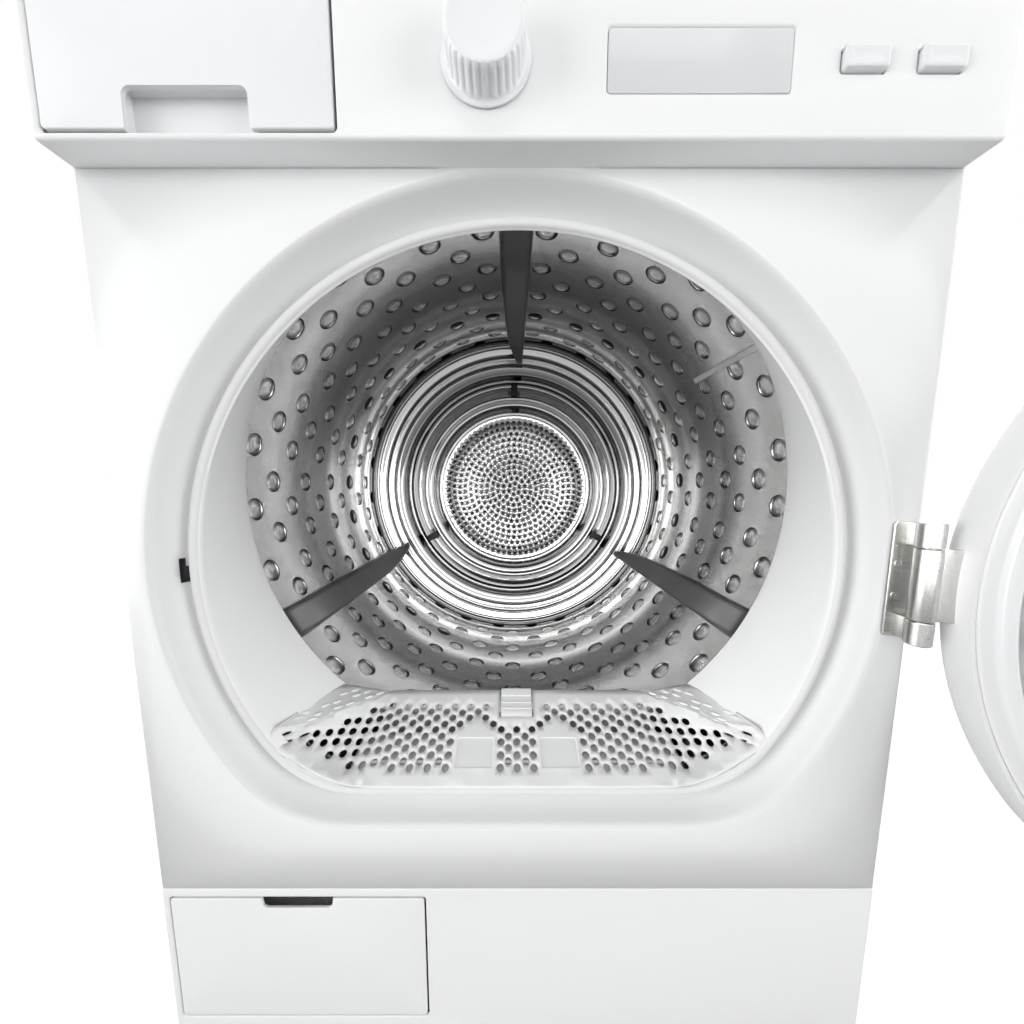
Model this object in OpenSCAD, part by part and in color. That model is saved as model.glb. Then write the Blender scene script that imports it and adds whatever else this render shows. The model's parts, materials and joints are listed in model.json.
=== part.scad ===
// Clothes dryer: front loader with an open loading door, a dimpled drum on a
// rear shaft and two front rollers, belt drive, lint filter and condenser.
// Frame: millimetres, +Z up, the front faces -Y, the origin is on the floor
// under the middle of the cabinet.

/* [Cabinet] */
// Width of the cabinet
body_w = 596; // [594:1:606]
// Height from the floor to the top of the worktop
body_h = 850; // [848:1:870]
// Depth of the cabinet without the control panel
body_d = 600; // [592:1:640]
// Thickness of the cabinet's steel sheet
sheet_t = 1.2; // [0.8:0.1:1.6]
// Height of the worktop's edge
worktop_h = 30; // [26:1:30]
// Wall of the worktop
worktop_t = 4; // [3:0.5:6]
// Height of the lower front panel above the floor
kick_h = 190; // [180:1:200]
// Underside of the base above the floor
base_gap = 20; // [14:1:24]
// Height of the base deck above the floor
deck_z = 60; // [54:1:60]
// Thickness of the base deck and its walls
base_t = 3; // [2.5:0.5:4]

/* [Feet] */
// Radius of a foot pad
foot_r = 20; // [15:1:26]
// Thickness of a foot pad
foot_pad_t = 12; // [8:1:13]
// Radius of a foot's stud
foot_stud_r = 5; // [4:0.5:6]
// Distance of a foot's axis from the cabinet's sides and ends
foot_inset = 46; // [40:1:60]

/* [Control panel] */
// Height of the control panel
fascia_h = 85; // [84:1:90]
// How far the control panel stands forward of the front panel
fascia_out = 20; // [14:1:26]
// Wall of the control panel
fascia_t = 3; // [2.5:0.5:4]
// Programme knob's place from the middle
knob_x = -20; // [-30:1:-10]
// Radius of the programme knob
knob_r = 24; // [20:1:27]
// Length of the programme knob
knob_len = 20; // [14:1:26]
// Width of the display window
display_w = 110; // [90:1:120]
// Height of the display window
display_h = 34; // [28:1:40]
// Width of a push button
button_w = 26; // [20:1:30]
// Height of a push button
button_h = 12; // [10:1:16]
// How far a push button stands out
button_out = 3; // [2.5:0.25:4]
// How far a push button travels
button_travel = 2; // [1:0.25:2]

/* [Loading opening] */
// Radius of the recess round the loading opening
recess_r = 276; // [274:0.5:278]
// Distance from the recess's centre down to its flat
recess_flat = 206; // [204:0.5:208]
// Corner radius of the recess
recess_corner = 102; // [90:1:110]
// Depth of the recess
recess_depth = 22; // [18:1:24]
// Radius of the opening's lip
lip_r = 261; // [260:0.5:262]
// Distance from the lip's centre down to its flat
lip_flat = 194; // [193:0.5:195]
// Corner radius of the lip
lip_corner = 93; // [84:1:100]
// How far the lip lies behind the front panel
lip_back = 13.5; // [12:0.5:15]
// Width of the lip's front edge
lip_w = 7; // [5:0.5:8]
// How far the opening's centre lies below the drum's axis
opening_drop = 60; // [58:0.5:62]
// Radius of the opening at its narrowest
throat_r = 246; // [244:0.5:248]
// Distance of the narrowest place behind the front panel
throat_back = 23; // [21:0.5:25]
// How far the narrowest place lies above the lip's centre
throat_rise = 6; // [5:0.5:7]
// Inner radius of the collar that reaches the drum
collar_r = 274.5; // [273:0.5:276]
// Distance of the collar's end behind the front panel
collar_back = 102.5; // [100:0.5:105]
// Wall of the opening's shield
shield_t = 2.5; // [2:0.25:3]

/* [Drum] */
// Height of the drum's axis above the floor
drum_axis_z = 515; // [512:0.5:516]
// Inner radius of the drum
drum_r = 287; // [285:0.5:288]
// Thickness of the drum's steel
drum_t = 1; // [0.8:0.1:1.2]
// Distance of the drum's front edge behind the front panel
drum_back_off = 91; // [89:0.5:93]
// Length of the drum's shell
drum_len = 382; // [370:1:386]
// Radius of the hole in the drum's back
back_hole_r = 209; // [205:1:212]
// Depth of the stamped rings in the drum's back
ring_depth = 5; // [3:0.5:6]
// Radius of the hub cover
hub_r = 184; // [180:1:187]
// Radius of the perforated middle of the hub cover
grille_r = 146; // [140:1:150]
// Radius of a hole in the hub cover
grille_hole_r = 2.6; // [2:0.1:3]
// Width of a spoke
spoke_w = 23; // [18:1:28]
// Radius of the drum's shaft
shaft_r = 8; // [7:0.5:10]
// Height of a lifter
lifter_h = 47; // [40:1:52]
// Width of a lifter at the drum's wall
lifter_w = 38; // [32:1:44]

/* [Lint filter] */
// Half width of the filter's middle face
filter_half = 138; // [134:1:140]
// Distance of the filter's front edge behind the front panel
filter_front = 28.7; // [28:0.1:31]
// Height of the filter's front edge below the drum's axis
filter_low = 240; // [239:0.5:240.5]
// Height of the filter's back edge below the drum's axis
filter_high = 209.5; // [205:0.5:212]
// Thickness of the filter's cover
cover_t = 2.5; // [2:0.25:3]
// Radius of a hole in the filter's cover
filter_hole_r = 3.5; // [3:0.1:3.8]
// Distance between the holes of one row
filter_pitch = 16; // [15:0.5:18]
// Distance between two rows of holes
filter_row = 5.9; // [5.5:0.1:6.5]
// Height of the filter's box
filter_box_h = 66; // [55:1:68]

/* [Door] */
// Angle at which the door stands open
door_open = 165; // [120:1:168]
// Thickness of the door's outer frame
door_t = 29; // [26:1:32]
// Wall of the door's frames
door_wall = 3; // [2.5:0.5:3.5]
// Radius of the door's window
window_r = 190; // [180:1:196]
// Radius of the plug behind the door
plug_r = 225; // [215:1:228]
// Depth of the plug behind the front panel
plug_deep = 38; // [30:1:40]
// Radius of the door's hinge pin
hinge_pin_r = 2.5; // [2:0.25:3]

/* [Drive] */
// Motor axis from the middle of the cabinet
motor_x = 150; // [145:1:155]
// Height of the motor's axis above the floor
motor_z = 150; // [148:1:156]
// Radius of the motor
motor_r = 60; // [50:1:62]
// Length of the motor
motor_len = 100; // [80:1:110]
// Radius of the motor's shaft
rotor_r = 6; // [5:0.5:7]
// Radius of the motor's pulley under the belt
pulley_r = 9; // [8:0.5:10]
// Width of the belt
belt_w = 8; // [6:0.5:10]
// Thickness of the belt
belt_t = 2.5; // [2:0.25:3]
// Distance of the belt from the drum's front edge
belt_back = 269; // [260:1:275]
// Radius of the idler pulley
idler_r = 18; // [15:1:20]
// Radius of a support roller
roller_r = 25; // [20:1:26]
// Width of a support roller
roller_w = 14; // [10:1:15]
// Angle of a support roller from straight down
roller_angle = 35; // [34:1:38]
// Radius of the fan wheel
fan_r = 74; // [66:1:76]
// Length of the fan wheel
fan_len = 52; // [44:1:56]

/* [Air and water] */
// Width of the condenser
condenser_w = 190; // [170:1:200]
// Height of the condenser
condenser_h = 112; // [100:1:114]
// Length of the condenser
condenser_len = 400; // [340:1:410]
// Distance of the rear bulkhead behind the drum
bulkhead_back = 39; // [38:1:44]
// Radius of the hot air inlet behind the drum
inlet_r = 150; // [140:1:152]
// Half width of the rear air duct
duct_half = 212; // [200:1:214]
// Width of the water tank
tank_w = 94; // [85:1:95]
// Width of the front of the water tank
tank_front_w = 178; // [150:1:190]
// Height of the water tank
tank_h = 66; // [60:1:67]
// Length of the water tank
tank_len = 550; // [500:1:555]

/* [Clearances] */
// Gap between a moving piece and a still one
gap = 0.5; // [0.4:0.1:0.7]
// Radial clearance of a pin in its bore
fit = 0.05; // [0.03:0.01:0.08]
// Gap between a seal and what runs on it
seal_gap = 0.3; // [0.3:0.05:0.4]
// Gap round the flap and the tank front
panel_gap = 1.5; // [1:0.25:2]

/* [Hidden] */
$fn = 64;

tiny = 0.01;
// Cabinet
half_w = body_w / 2;
front_y = -body_d / 2;
rear_y = body_d / 2;
inner_x = half_w - sheet_t;
side_top = body_h - worktop_h;
fascia_z = side_top - fascia_h;
panel_y = front_y + sheet_t;
// Loading opening
open_z = drum_axis_z - opening_drop;
lip_y = front_y + lip_back;
throat_y = front_y + throat_back;
throat_z = open_z + throat_rise;
throat_flat = throat_z - (drum_axis_z - filter_low) + 1;
collar_y = front_y + collar_back;
felt_seat_r = collar_r + shield_t + 0.4;
dish_r = lip_r + 1;
dish_flat = lip_flat + 1;
bulk_y = front_y + 38;
bulk_t = 2;
bulk_hole_r = 258;
bulk_hole_z = open_z + 17;
flange_r = bulk_hole_r + 14;
// Drum
drum_y = front_y + drum_back_off;
drum_end = drum_y + drum_len;
drum_out = drum_r + drum_t;
rear_bulk_y = drum_end + bulkhead_back;
back_y = drum_end + 4;
back_seat = 0.8;
spider_y = back_y + back_seat * ring_depth + drum_t;
felt_in_r = drum_r - 15;
heater_half = 120;
heater_y = rear_bulk_y + bulk_t;
heater_d = 50;
heater_z = 190;
heater_h = 100;
spider_t = 8;
boss_r = 26;
hub_t = 1.2;
spokes = 3;
bearing_r = 30;
bearing_len = 22;
duct_low = deck_z + 36;
duct_rear = rear_y - sheet_t - 6;
// Filter
filter_y = front_y + filter_front;
filter_z = drum_axis_z - filter_low;
filter_top = drum_axis_z - filter_high;
filter_slope = atan((filter_top - filter_z) / (collar_y - filter_y));
shelf_z = filter_top + 6;
shelf_half = sqrt(pow(collar_r, 2) - pow(drum_axis_z - shelf_z + cover_t, 2)) - 7 * gap;
wing_y = throat_y + 6 * gap;
throat_cx = sqrt(pow(throat_r - lip_corner, 2) - pow(throat_flat - lip_corner, 2));
wing_half = throat_cx - 11 * gap + sqrt(pow(lip_corner, 2)
    - pow(throat_z - shelf_z + cover_t - throat_flat + lip_corner, 2));
box_half = filter_half - 4;
box_front = filter_y + 6;
box_back = drum_y - 6;
box_t = 2;
way_half = filter_half + 14;
box_z = filter_z - filter_box_h;
latch_half = 17;
latch_len = 34;
latch_pin_r = 1.5;
latch_room = 5;
latch_pin_y = collar_y - latch_len + 3;
// Height of the underside of the cover's sloping face at depth y
function cover_under(y) =
    filter_z + (y - filter_y) * tan(filter_slope) - cover_t / cos(filter_slope);
latch_pin_z = cover_under(latch_pin_y) - 2.5;
// Process air duct under the filter
duct_t = 2.5;
duct_x = filter_half + 5;
duct_front = filter_y - 4;
duct_back = drum_y - 1.5;
duct_z = box_z - 12;
duct_top = drum_axis_z - collar_r - shield_t - 2;
down_half = 60;
fan_y = duct_back + 24;
fan_house_r = fan_r + 10;
fan_house_len = fan_len + 22;
fan_hole_r = 50;
// Drive
belt_y = drum_y + belt_back;
motor_y = belt_y - 24 - motor_len;
belt_drum_r = drum_out + 0.3;
centre_dist = sqrt(pow(motor_x, 2) + pow(drum_axis_z - motor_z, 2));
belt_dir = atan2(motor_z - drum_axis_z, motor_x);
belt_turn = acos((belt_drum_r - pulley_r) / centre_dist);
belt_a = belt_dir - belt_turn;
idler_at = 150;
idler_off = pulley_r + belt_t + idler_r + 2 * seal_gap;
idler_x = motor_x + idler_off * cos(belt_a) + idler_at * cos(belt_a - 90);
idler_z = motor_z + idler_off * sin(belt_a) + idler_at * sin(belt_a - 90);
idler_pivot_x = idler_x + 52;
idler_pivot_z = deck_z + 30;
idler_pin_r = 4;
arm_y = belt_y + belt_w / 2 + 3;
arm_t = 4;
roller_dist = drum_out + seal_gap + roller_r;
roller_y = drum_y + 2;
axle_r = 4;
// Control panel
fascia_y = front_y - fascia_out;
fascia_mid = fascia_z + fascia_h / 2;
tank_left = -half_w + 7;
tank_right = tank_left + tank_front_w;
tank_z = fascia_z + 6;
tray_t = 1.5;
tray_z = fascia_z + 2;
tray_y = front_y + 10 + gap;
display_x = 108;
button_x = [206, 252];
knob_shaft_r = 3;
// Doors
door_r = recess_r - 4;
door_flat = recess_flat - 4;
door_corner = recess_corner - 4;
door_front = front_y - 1 - door_t;
door_rear = front_y - 1;
hinge_x = recess_r + 12;
hinge_y = front_y - 1 - door_t / 2;
knuckle_r = hinge_pin_r + 3;
knuckle_h = 18;
leaf_h = 52;
leaf_t = 6;
plug_flat = open_z - shelf_z - 9;
plug_corner = 60;
hook_x = -recess_r + 9;
flap_left = -half_w + 13;
flap_right = flap_left + condenser_w + 10;
flap_low = deck_z + 4;
flap_high = deck_z + condenser_h + 8;
flap_t = 2.5;
flap_pin_r = 2;
flap_pin_y = front_y + flap_t + 2;
flap_pin_z = flap_low + 4;
flap_back = flap_pin_y + 2.5;
flap_under = 2.5;
lug_w = 6;
tab_w = 8;
// Condenser
cond_x = flap_left + 2;
cond_y = front_y + 10;
cond_t = 4;
feed_x = 12 - duct_half;
feed_w = 100;
feed_h = 60;
feed_z = deck_z + 50;
// Water
pump_x = -half_w + 48;
pump_y = rear_y - 50;
pump_r = 28;
pump_h = 50;
pipe_z = deck_z + pump_h + 12;
pipe_r = 6;
// Screws
screw_r = 4;
screw_t = 1.6;

// Draws a front view outline from y0 to y1
module slab(y0, y1) translate([0, y1, 0]) rotate([90, 0, 0]) linear_extrude(y1 - y0) children();
// Turns an outline of radius and depth about the drum's axis
module turned() translate([0, 0, drum_axis_z]) rotate([-90, 0, 0]) rotate_extrude() children();
// Cylinder along Y
module rod(r, y0, y1, x = 0, z = 0)
    translate([x, y0, z]) rotate([-90, 0, 0]) cylinder(r = r, h = y1 - y0);
// Box given by its two corners
module block(a, b) translate(a) cube(b - a);
// Circle cut off by a flat below, with round corners
module d_shape(r, flat, corner) {
    fx = sqrt(pow(r - corner, 2) - pow(flat - corner, 2));
    fz = corner - flat;
    k = r / (r - corner);
    intersection() {
        circle(r);
        translate([-r, fz * k]) square([2 * r, 2 * r]);
    }
    for (s = [-1, 1]) translate([s * fx, fz]) circle(corner);
    polygon([[-fx * k, fz * k], [-fx, -flat], [fx, -flat], [fx * k, fz * k]]);
}
module at_opening() translate([0, 0, open_z]) children();
// Flat triangle of thickness t below its three corners
module tri_plate(a, b, c, t) {
    d = [0, 0, t];
    polyhedron([a, b, c, a - d, b - d, c - d],
        [[0, 1, 2], [5, 4, 3], [0, 3, 4, 1], [1, 4, 5, 2], [2, 5, 3, 0]]);
}
// Puts the closed door where it stands open
module opened() translate([hinge_x, hinge_y, 0]) rotate([0, 0, door_open])
    translate([-hinge_x, -hinge_y, 0]) children();
// Repeats at the left and the right
module both() for (s = [-1, 1]) scale_x(s) children();
module scale_x(s) if (s > 0) children(); else mirror([1, 0, 0]) children();

// ---- Cabinet ----
module base_tray() color("dimgray") difference() {
    block([-inner_x, front_y + flap_t, base_gap], [inner_x, rear_y - sheet_t, deck_z]);
    block([-inner_x + base_t, front_y + flap_t + base_t, base_gap - 1],
        [inner_x - base_t, rear_y - sheet_t - base_t, deck_z - base_t]);
    for (x = [-1, 1], y = [-1, 1])
        translate([x * (half_w - foot_inset), y * (rear_y - foot_inset), deck_z - base_t - 1])
            cylinder(r = foot_stud_r, h = base_t + 2);
}

module levelling_feet() color("black")
    for (x = [-1, 1], y = [-1, 1])
        translate([x * (half_w - foot_inset), y * (rear_y - foot_inset), 0]) {
            cylinder(r = foot_r, h = foot_pad_t);
            cylinder(r = foot_stud_r, h = deck_z);
            translate([0, 0, deck_z - base_t - 6]) cylinder(r = 2 * foot_stud_r, h = 6);
        }

module side_panel()
    block([inner_x, panel_y, base_gap], [half_w, rear_y - sheet_t, side_top]);
module side_panel_right() color("white") side_panel();
module side_panel_left() color("white") mirror([1, 0, 0]) side_panel();

module rear_panel() color("gainsboro") difference() {
    slab(rear_y - sheet_t, rear_y) translate([-half_w, base_gap])
        square([body_w, side_top - base_gap]);
    for (i = [0 : 7]) slab(rear_y - sheet_t - 1, rear_y + 1)
        translate([120, 90 + 9 * i]) square([110, 3.5]);
}

module worktop() color("white") difference() {
    block([-half_w, front_y, side_top], [half_w, rear_y, body_h]);
    block([-half_w + worktop_t, front_y + worktop_t, side_top - 1],
        [half_w - worktop_t, rear_y - worktop_t, body_h - worktop_t]);
}

module front_panel() color("white") difference() {
    union() {
        slab(front_y, panel_y) translate([-half_w, kick_h])
            square([body_w, fascia_z - kick_h]);
        at_opening() hull() {
            slab(front_y + tiny, front_y + 2 * tiny)
                d_shape(recess_r + sheet_t, recess_flat + sheet_t, recess_corner);
            slab(front_y + recess_depth - tiny, front_y + recess_depth)
                d_shape(dish_r + sheet_t, dish_flat + sheet_t, lip_corner);
        }
    }
    at_opening() hull() {
        slab(front_y - 2 * tiny, front_y - tiny) d_shape(recess_r, recess_flat, recess_corner);
        slab(front_y + recess_depth, front_y + recess_depth + tiny)
            d_shape(dish_r, dish_flat, lip_corner);
    }
    block([hook_x - 5, front_y + 2, open_z - 10], [hook_x + 7, bulk_y, open_z + 10]);
}

module kick_panel() color("white") difference() {
    union() {
        slab(front_y, front_y + flap_t) difference() {
            translate([-half_w, base_gap]) square([body_w, kick_h - base_gap]);
            translate([flap_left - panel_gap, flap_low - flap_under])
                square([flap_right - flap_left + 2 * panel_gap,
                    flap_high - flap_low + flap_under + panel_gap]);
        }
        // Lugs for the flap's pins
        for (x = [flap_left - panel_gap - lug_w, flap_right + panel_gap])
            block([x, front_y + flap_t, flap_low - 1], [x + lug_w, flap_back + 2, flap_low + 9]);
    }
    for (x = [flap_left - panel_gap - lug_w, flap_right + panel_gap])
        translate([x - 1, flap_pin_y, flap_pin_z]) rotate([0, 90, 0])
            cylinder(r = flap_pin_r + fit, h = lug_w + 2);
    // Seats of the side panels' front edges
    both() block([inner_x, panel_y, base_gap - 1], [half_w + 1, flap_back, kick_h + 1]);
}

module condenser_flap() color("white") {
    difference() {
        block([flap_left, front_y, flap_low], [flap_right, front_y + flap_t, flap_high]);
        block([(flap_left + flap_right) / 2 - 30, front_y - 1, flap_high - 9],
            [(flap_left + flap_right) / 2 + 30, front_y + flap_t + 1, flap_high + 1]);
    }
    for (x = [flap_left, flap_right - tab_w])
        block([x, front_y + flap_t, flap_low], [x + tab_w, flap_back, flap_pin_z + 4]);
    for (x = [flap_left - panel_gap - lug_w + 1, flap_right - tab_w / 2])
        translate([x, flap_pin_y, flap_pin_z]) rotate([0, 90, 0])
            cylinder(r = flap_pin_r, h = lug_w - 1 + panel_gap + tab_w / 2);
}

module front_bulkhead() color("silver") difference() {
    slab(bulk_y, bulk_y + bulk_t) difference() {
        translate([-inner_x, kick_h + 14]) square([2 * inner_x, tray_z - kick_h - 14]);
        translate([0, bulk_hole_z]) circle(bulk_hole_r);
        translate([-duct_x - gap, 0]) square([2 * duct_x + 2 * gap, filter_z + 4]);
    }
    both() rod(axle_r, bulk_y - 1, bulk_y + bulk_t + 1,
        roller_dist * sin(roller_angle), drum_axis_z - roller_dist * cos(roller_angle));
}

module door_opening_shield() color("whitesmoke") difference() {
    union() {
        at_opening() slab(lip_y, throat_y + 1) d_shape(lip_r, lip_flat, lip_corner);
        hull() {
            translate([0, 0, throat_z]) slab(throat_y, throat_y + tiny)
                d_shape(throat_r + shield_t, throat_flat + shield_t, lip_corner);
            rod(collar_r + shield_t, collar_y - tiny, collar_y, 0, drum_axis_z);
        }
        translate([0, 0, bulk_hole_z]) slab(bulk_y - 2, bulk_y) circle(flange_r);
        // Seat of the felt at the drum's front edge
        rod(felt_seat_r, drum_y + 1, collar_y - 1.5, 0, drum_axis_z);
    }
    hull() {
        at_opening() slab(lip_y - 2 * tiny, lip_y - tiny)
            d_shape(lip_r - lip_w, lip_flat - lip_w, lip_corner);
        translate([0, 0, throat_z]) slab(throat_y + 2, throat_y + 2 + tiny)
            d_shape(throat_r - 1.5, throat_flat - 1.5, lip_corner);
    }
    hull() {
        translate([0, 0, throat_z]) slab(throat_y - 5, throat_y - 5 + tiny)
            d_shape(throat_r - 2, throat_flat - 2, lip_corner);
        rod(collar_r, collar_y + 1, collar_y + 1 + tiny, 0, drum_axis_z);
    }
    // Way down for the filter's box, and the slot for the door's hook
    block([-way_half, filter_y - 1, kick_h], [way_half, box_back + 2, filter_z + 7]);
    block([-duct_x - gap, duct_front - gap, kick_h], [duct_x + gap, bulk_y, duct_top + gap]);
    block([-half_w, lip_y - 1, open_z - 15], [hook_x + 7, bulk_y + 1, open_z + 15]);
}

module hinge_bracket() color("silver") {
    block([hinge_x - 11, front_y - 2, open_z - leaf_h / 2 - knuckle_h],
        [half_w, front_y, open_z + leaf_h / 2 + knuckle_h]);
    for (z = [open_z + leaf_h / 2 + gap, open_z - leaf_h / 2 - knuckle_h]) {
        translate([hinge_x, hinge_y, z]) cylinder(r = knuckle_r, h = knuckle_h - gap);
        block([hinge_x - 2, hinge_y, z], [hinge_x + 2, front_y - 1, z + knuckle_h - gap]);
    }
    translate([hinge_x, hinge_y, open_z - leaf_h / 2 - knuckle_h])
        cylinder(r = hinge_pin_r, h = leaf_h + 2 * knuckle_h);
}

module door_catch() color("gray") difference() {
    block([hook_x - 9, front_y + recess_depth + 2, open_z - 14], [hook_x + 6, bulk_y, open_z + 14]);
    block([hook_x - 5, front_y, open_z - 9.5], [hook_x + 3, bulk_y - 2, open_z + 9.5]);
}

// ---- Control panel ----
module control_fascia() color("white") difference() {
    block([-half_w, fascia_y, fascia_z], [half_w, panel_y, side_top]);
    block([-half_w + fascia_t, fascia_y + fascia_t, fascia_z + fascia_t],
        [half_w - fascia_t, panel_y + 1, side_top - fascia_t]);
    // Openings for the tank, the display, the knob's shaft and the buttons
    block([tank_left - panel_gap, fascia_y - 1, tank_z - panel_gap],
        [tank_right + panel_gap, fascia_y + fascia_t + 1, side_top - 6 + panel_gap]);
    slab(fascia_y - 1, fascia_y + fascia_t + 1) translate([display_x, fascia_mid])
        square([display_w, display_h], center = true);
    rod(knob_shaft_r + fit, fascia_y - 1, fascia_y + fascia_t + 1, knob_x, fascia_mid);
    for (x = button_x) slab(fascia_y - 1, fascia_y + fascia_t + 1)
        translate([x, fascia_mid])
            square([button_w + 2 * gap, button_h + 2 * gap], center = true);
}

module display_window() color("gainsboro") {
    slab(fascia_y + 0.5, fascia_y + fascia_t) translate([display_x, fascia_mid])
        square([display_w, display_h], center = true);
    slab(fascia_y + fascia_t, fascia_y + fascia_t + 1.5) translate([display_x, fascia_mid])
        square([display_w + 6, display_h + 6], center = true);
}

module control_board() color("darkgreen") {
    block([tank_right + 20, front_y + 4, fascia_z + 10],
        [half_w - 20, front_y + 5.6, side_top - 12]);
    // Posts that carry the board on the back of the panel's wall
    for (x = [tank_right + 26, half_w - 26], z = [fascia_z + 18, side_top - 20])
        rod(3, fascia_y + fascia_t, front_y + 4, x, z);
    block([display_x - 50, front_y - 8, fascia_mid - 15],
        [display_x + 50, front_y + 4, fascia_mid + 15]);
    block([half_w - 120, front_y + 5.6, fascia_z + 18], [half_w - 60, front_y + 26, fascia_z + 50]);
}

module programme_knob() color("whitesmoke") {
    difference() {
        union() {
            rod(knob_r, fascia_y - knob_len, fascia_y - 2, knob_x, fascia_mid);
            rod(knob_r + 3, fascia_y - 2, fascia_y - gap, knob_x, fascia_mid);
        }
        block([knob_x - 1.5, fascia_y - knob_len - 1, fascia_mid + knob_r - 9],
            [knob_x + 1.5, fascia_y - knob_len + 1, fascia_mid + knob_r - 1]);
    }
    rod(knob_shaft_r, fascia_y - 2, front_y + 4 - gap, knob_x, fascia_mid);
    // Collar that keeps the shaft in its bore
    rod(knob_shaft_r + 3, fascia_y + fascia_t + seal_gap, fascia_y + fascia_t + 3, knob_x, fascia_mid);
}

module push_button(x) {
    slab(fascia_y - button_out, fascia_y + fascia_t + 1) translate([x, fascia_mid])
        square([button_w, button_h], center = true);
    slab(fascia_y + fascia_t + 1, fascia_y + fascia_t + 2.5) translate([x, fascia_mid])
        square([button_w + 4, button_h + 4], center = true);
}
module start_button() color("gainsboro") push_button(button_x[1]);
module option_button() color("gainsboro") push_button(button_x[0]);

module tank_tray() color("gray") difference() {
    block([tank_left - gap - tray_t, tray_y, tray_z],
        [tank_left + tank_w + gap + tray_t, rear_y - 22, tank_z + 40]);
    block([tank_left - gap, front_y + 5, tank_z - gap],
        [tank_left + tank_w + gap, rear_y - 22 - tray_t, tank_z + 41]);
}

module water_tank() color("white") {
    difference() {
        block([tank_left, front_y + 10, tank_z],
            [tank_left + tank_w, front_y + 10 + tank_len, tank_z + tank_h]);
        block([tank_left + 2, front_y + 12, tank_z + 2],
            [tank_left + tank_w - 2, front_y + 8 + tank_len, tank_z + tank_h - 2]);
        // Filler in the top and finger pull
        translate([tank_left + tank_w / 2, front_y + tank_len - 20, tank_z + tank_h - 3])
            cylinder(r = 12, h = 4);
    }
    difference() {
        block([tank_left, fascia_y, tank_z], [tank_right, front_y + 10, side_top - 6]);
        block([tank_left + 3, fascia_y + 3, tank_z + 3], [tank_right - 3, front_y + 7, side_top - 9]);
        block([tank_left + 50, fascia_y - 1, tank_z - 1], [tank_right - 50, fascia_y + 9, tank_z + 24]);
    }
}

// ---- Drum ----
module drum_shell() color("silver") turned()
    translate([drum_r, drum_y]) square([drum_t, drum_len]);

// Stamped profile of the drum's back: radius, and depth as a share of ring_depth
back_rings = [[drum_r, 0], [279, -0.3], [275, -1], [271, -0.8], [263, 0.6], [260, 0.4],
    [257, -0.5], [253, 0.3], [250.5, 0.9], [248.5, 0.3], [243.5, 1], [240, -0.4],
    [235, 0.2], [227, back_seat], [back_hole_r + 3, back_seat], [back_hole_r, 0.3]];
module drum_back() color("silver") turned() {
    front = [for (p = back_rings) [p[0], back_y + ring_depth * p[1]]];
    n = len(front);
    rear = [for (i = [n - 1 : -1 : 0]) front[i] + [0, drum_t]];
    polygon(concat(front, rear));
    translate([drum_r, drum_end]) square([drum_t, back_y + drum_t - drum_end]);
}

// One fin: low at the front, full height in the middle, a thin tip at the rear
module lifter() hull() {
    block([-lifter_w / 2, drum_y + 18, drum_r - 6], [lifter_w / 2, drum_end - 14, drum_r - 4]);
    block([-lifter_w / 2 + 4, drum_y + 84, drum_r - lifter_h],
        [lifter_w / 2 - 4, drum_end - 150, drum_r - lifter_h + 5]);
    block([2, drum_end - 12, drum_r - lifter_h], [lifter_w / 2 - 6, drum_end - 10, drum_r - 40]);
}
module drum_lifters() color("dimgray")
    for (i = [0 : spokes - 1])
        translate([0, 0, drum_axis_z]) rotate([0, i * 360 / spokes, 0]) {
            lifter();
            // Foot that follows the drum's wall
            intersection() {
                block([-lifter_w / 2, drum_y + 18, drum_r - 8], [lifter_w / 2, drum_end - 14, drum_r]);
                rod(drum_r, drum_y + 18, drum_end - 14);
            }
        }

module drum_spider() color("black") difference() {
    translate([0, 0, drum_axis_z]) {
        rod(boss_r, spider_y, spider_y + spider_t + 8);
        difference() {
            rod(hub_r - 2, spider_y, spider_y + spider_t);
            rod(grille_r + 8, spider_y - 1, spider_y + spider_t + 1);
        }
        for (i = [0 : spokes - 1]) rotate([0, i * 360 / spokes, 0])
            block([-spoke_w / 2, spider_y, boss_r - 4],
                [spoke_w / 2, spider_y + spider_t, back_hole_r + 14]);
    }
    rod(shaft_r, spider_y - 1, spider_y + spider_t + 9, 0, drum_axis_z);
}

// Stamped steel cover on the hub: radius and height of its rings
cover_rings = [[hub_r, 0], [hub_r - 1, 4], [hub_r - 5, 6], [hub_r - 10, 3], [hub_r - 18, 1.5],
    [grille_r + 14, 2], [grille_r + 9, 5.5], [grille_r + 4, 7.5], [grille_r, 4], [grille_r - 2, 0]];
module hub_cover() color("silver") difference() {
    turned() {
        front = [for (p = cover_rings) [p[0], spider_y - hub_t - p[1]]];
        n = len(front);
        rear = [for (i = [n - 1 : -1 : 0]) front[i] + [0, hub_t]];
        polygon(concat(front, rear));
        translate([0, spider_y - hub_t]) square([grille_r - 1.5, hub_t]);
    }
    translate([0, 0, drum_axis_z]) for (k = [1 : 6]) for (j = [0 : 6 * k - 1])
        rotate([0, j * 60 / k, 0]) rod(grille_hole_r, spider_y - 2, spider_y + 1, 0, 22 * k);
}

module drum_shaft() color("gray")
    rod(shaft_r, spider_y, rear_bulk_y + bulk_t + bearing_len, 0, drum_axis_z);

module drum_bearing() color("dimgray") difference() {
    translate([0, 0, drum_axis_z]) {
        rod(bearing_r, rear_bulk_y, rear_bulk_y + bulk_t + bearing_len);
        for (i = [0 : 2]) rotate([0, 60 + i * 120, 0])
            block([-14, rear_bulk_y + bulk_t, bearing_r - 4],
                [14, rear_bulk_y + bulk_t + 8, inlet_r + 16]);
    }
    rod(shaft_r + fit, rear_bulk_y - 1, rear_bulk_y + bulk_t + bearing_len + 1, 0, drum_axis_z);
}

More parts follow.
